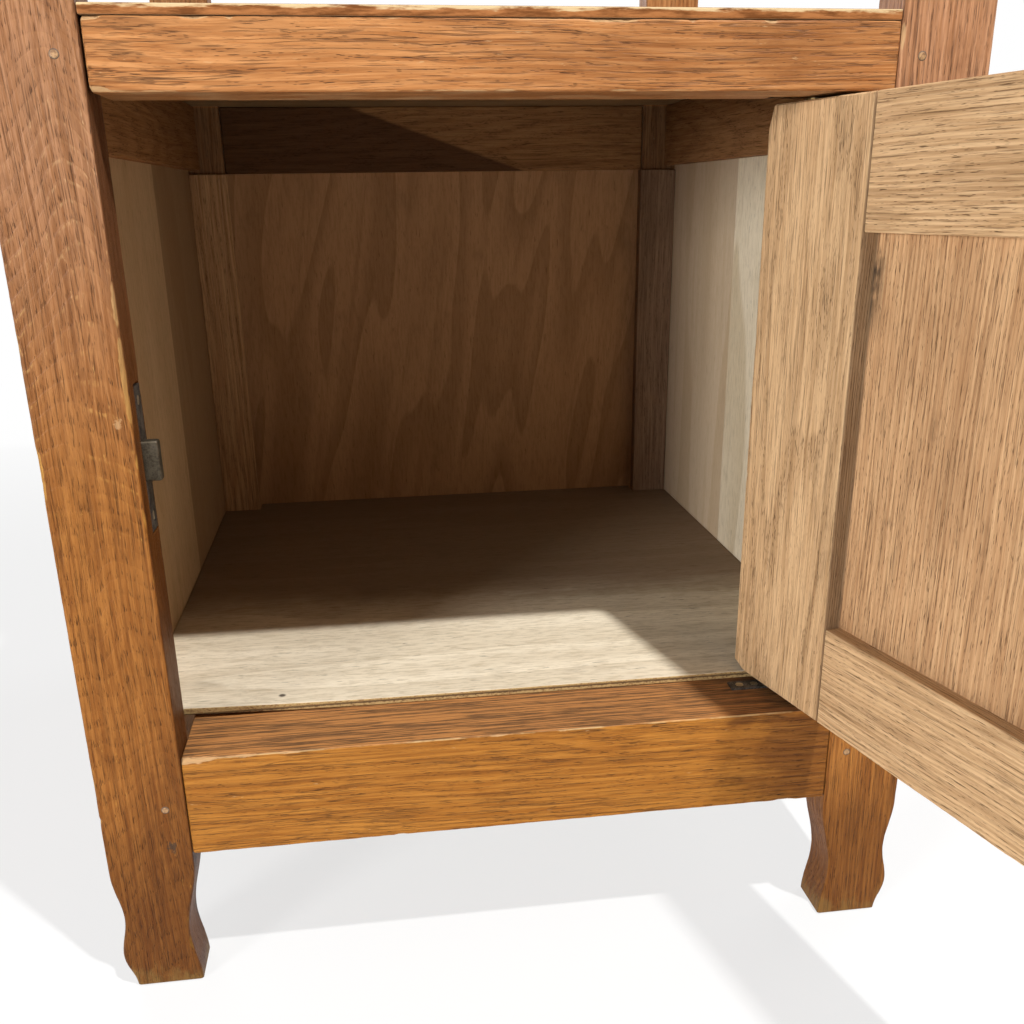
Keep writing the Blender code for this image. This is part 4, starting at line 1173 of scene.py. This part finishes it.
def make_pegs():
    """Peg ends that stand a little proud of the posts, each in the dark rim of its hole."""
    material = None
    for node in [name for name in frame["nodes"] if name.endswith("_peg")]:
        low, high = node_box(node)
        middle = (low + high) / 2
        rings = []
        for radius, proud, _ in PEG_RINGS:
            ring = []
            for i in range(PEG_SIDES):
                angle = 2 * math.pi * i / PEG_SIDES
                uneven = 1 + 0.06 * wave(math.sin(angle) * 2 + middle.x * 40, 7 + middle.z)
                reach = radius * MM * uneven
                x = middle.x + reach * math.cos(angle)
                z = middle.z + reach * math.sin(angle)
                ring.append((x, low.y - proud * MM, z))
            rings.append(ring)
        mesh = loft(f"{node}_end", rings)
        point_values(mesh, "pale", [pale for *_, pale in PEG_RINGS for _ in range(PEG_SIDES)])
        mesh.shade_smooth()
        piece = new_piece(f"{node}_end", mesh, "cabinet", node)
        if material is None:
            material = peg_wood(piece)
        else:
            cover(mesh, material)


# Stage, light and camera

PHOTO_SIZE = 1024
FOCAL_PIXELS = 1034.97
OPTICAL_CENTRE_Y = 568.64
SENSOR = 36.0
CAMERA_PLACE = (-0.0770, -0.8212, 0.4634)
CAMERA_YAW = -0.1332
CAMERA_PITCH = -0.3453
CAMERA_ROLL = 0.0145
NEAREST = 0.02
KEY_DIRECTION = Vector((0.252, -0.449, 0.857))
KEY_TARGET = Vector((0.0, -0.10, 0.30))
KEY_DISTANCE = 2.4
WORLD_STRENGTH = 0.13
STAGE_REACH = 12.0
STAGE_DROP = 0.2 * MM
STAGE_COLOUR = (0.80, 0.80, 0.79)
WHITE = (1.0, 1.0, 1.0)

# Lamps: place, what they point at, size in metres and power in watts
LAMPS = {
    "key": (KEY_TARGET + KEY_DIRECTION.normalized() * KEY_DISTANCE, KEY_TARGET, 0.06, 62),
    "left_fill": ((-1.70, -1.80, 0.66), (0.2, -0.30, 0.35), 0.5, 46),
    "right_fill": ((2.3, 1.2, 1.3), (0.0, 0.0, 0.5), 1.6, 26),
    "back_fill": ((-1.2, 2.4, 1.4), (0.0, 0.0, 0.5), 1.6, 34),
}


def make_camera():
    data = bpy.data.cameras.new("camera")
    data.sensor_width = SENSOR
    data.lens = SENSOR * FOCAL_PIXELS / PHOTO_SIZE
    data.shift_y = (OPTICAL_CENTRE_Y - PHOTO_SIZE / 2) / PHOTO_SIZE
    data.clip_start = NEAREST
    camera = linked("camera", data)
    turn = (
        Matrix.Rotation(CAMERA_YAW, 4, "Z")
        @ Matrix.Rotation(CAMERA_PITCH, 4, "X")
        @ Matrix.Rotation(CAMERA_ROLL, 4, "Y")
        @ Matrix.Rotation(math.radians(90), 4, "X")
    )
    camera.matrix_world = Matrix.Translation(CAMERA_PLACE) @ turn
    bpy.context.scene.camera = camera


def make_lamps():
    for name, (place, target, size, power) in LAMPS.items():
        data = bpy.data.lights.new(name, "AREA")
        data.size = size
        data.energy = power
        light = linked(name, data)
        light.location = place
        light.rotation_euler = (Vector(target) - Vector(place)).to_track_quat("-Z", "Y").to_euler()


def seen_directly(tree):
    """1 where the camera sees a thing directly, in a reflection or through glass."""
    camera, glossy, through = (
        out(tree, "ShaderNodeLightPath", output=f"Is {kind} Ray")
        for kind in ("Camera", "Glossy", "Transmission")
    )
    return camera.math("MAXIMUM", glossy.math("MAXIMUM", through))


def make_floor():
    """A pale floor that keeps the object's shadow and turns white away from it."""
    shape = bmesh.new()
    bmesh.ops.create_grid(shape, x_segments=8, y_segments=8, size=STAGE_REACH)
    floor = linked("studio_floor", mesh_of("studio_floor", shape))
    floor.location.z = -STAGE_DROP
    tree, shader = new_material(floor, "pale")
    put_all(shader, {"Base Color": STAGE_COLOUR, "Roughness": 0.9})
    glow = out(tree, "ShaderNodeEmission", {"Color": WHITE, "Strength": 1.0})
    away = out(tree, "ShaderNodeVectorMath", {0: here(tree)}, "Value", operation="LENGTH")
    share = seen_directly(tree) * between(away, 0.7, 2.4, 1.0, 0.72)
    lit = Value(tree, shader.outputs[0])
    both = out(tree, "ShaderNodeMixShader", {0: share, 1: lit, 2: glow})
    put(tree.nodes["Material Output"].inputs["Surface"], both)


def make_world():
    world = bpy.data.worlds.new("studio")
    world.use_nodes = True
    background = world.node_tree.nodes["Background"]
    strength = between(seen_directly(world.node_tree), 0.0, 1.0, 1.0, WORLD_STRENGTH)
    put_all(background, {"Color": WHITE, "Strength": strength})
    bpy.context.scene.world = world


make_posts()
make_front_rails()
make_other_rails()
make_top()
make_cleats()
make_panels()
make_sheets()
make_door()
make_metal()
make_pegs()
make_camera()
make_floor()
make_world()
make_lamps()
bpy.context.scene.view_settings.view_transform = "Standard"
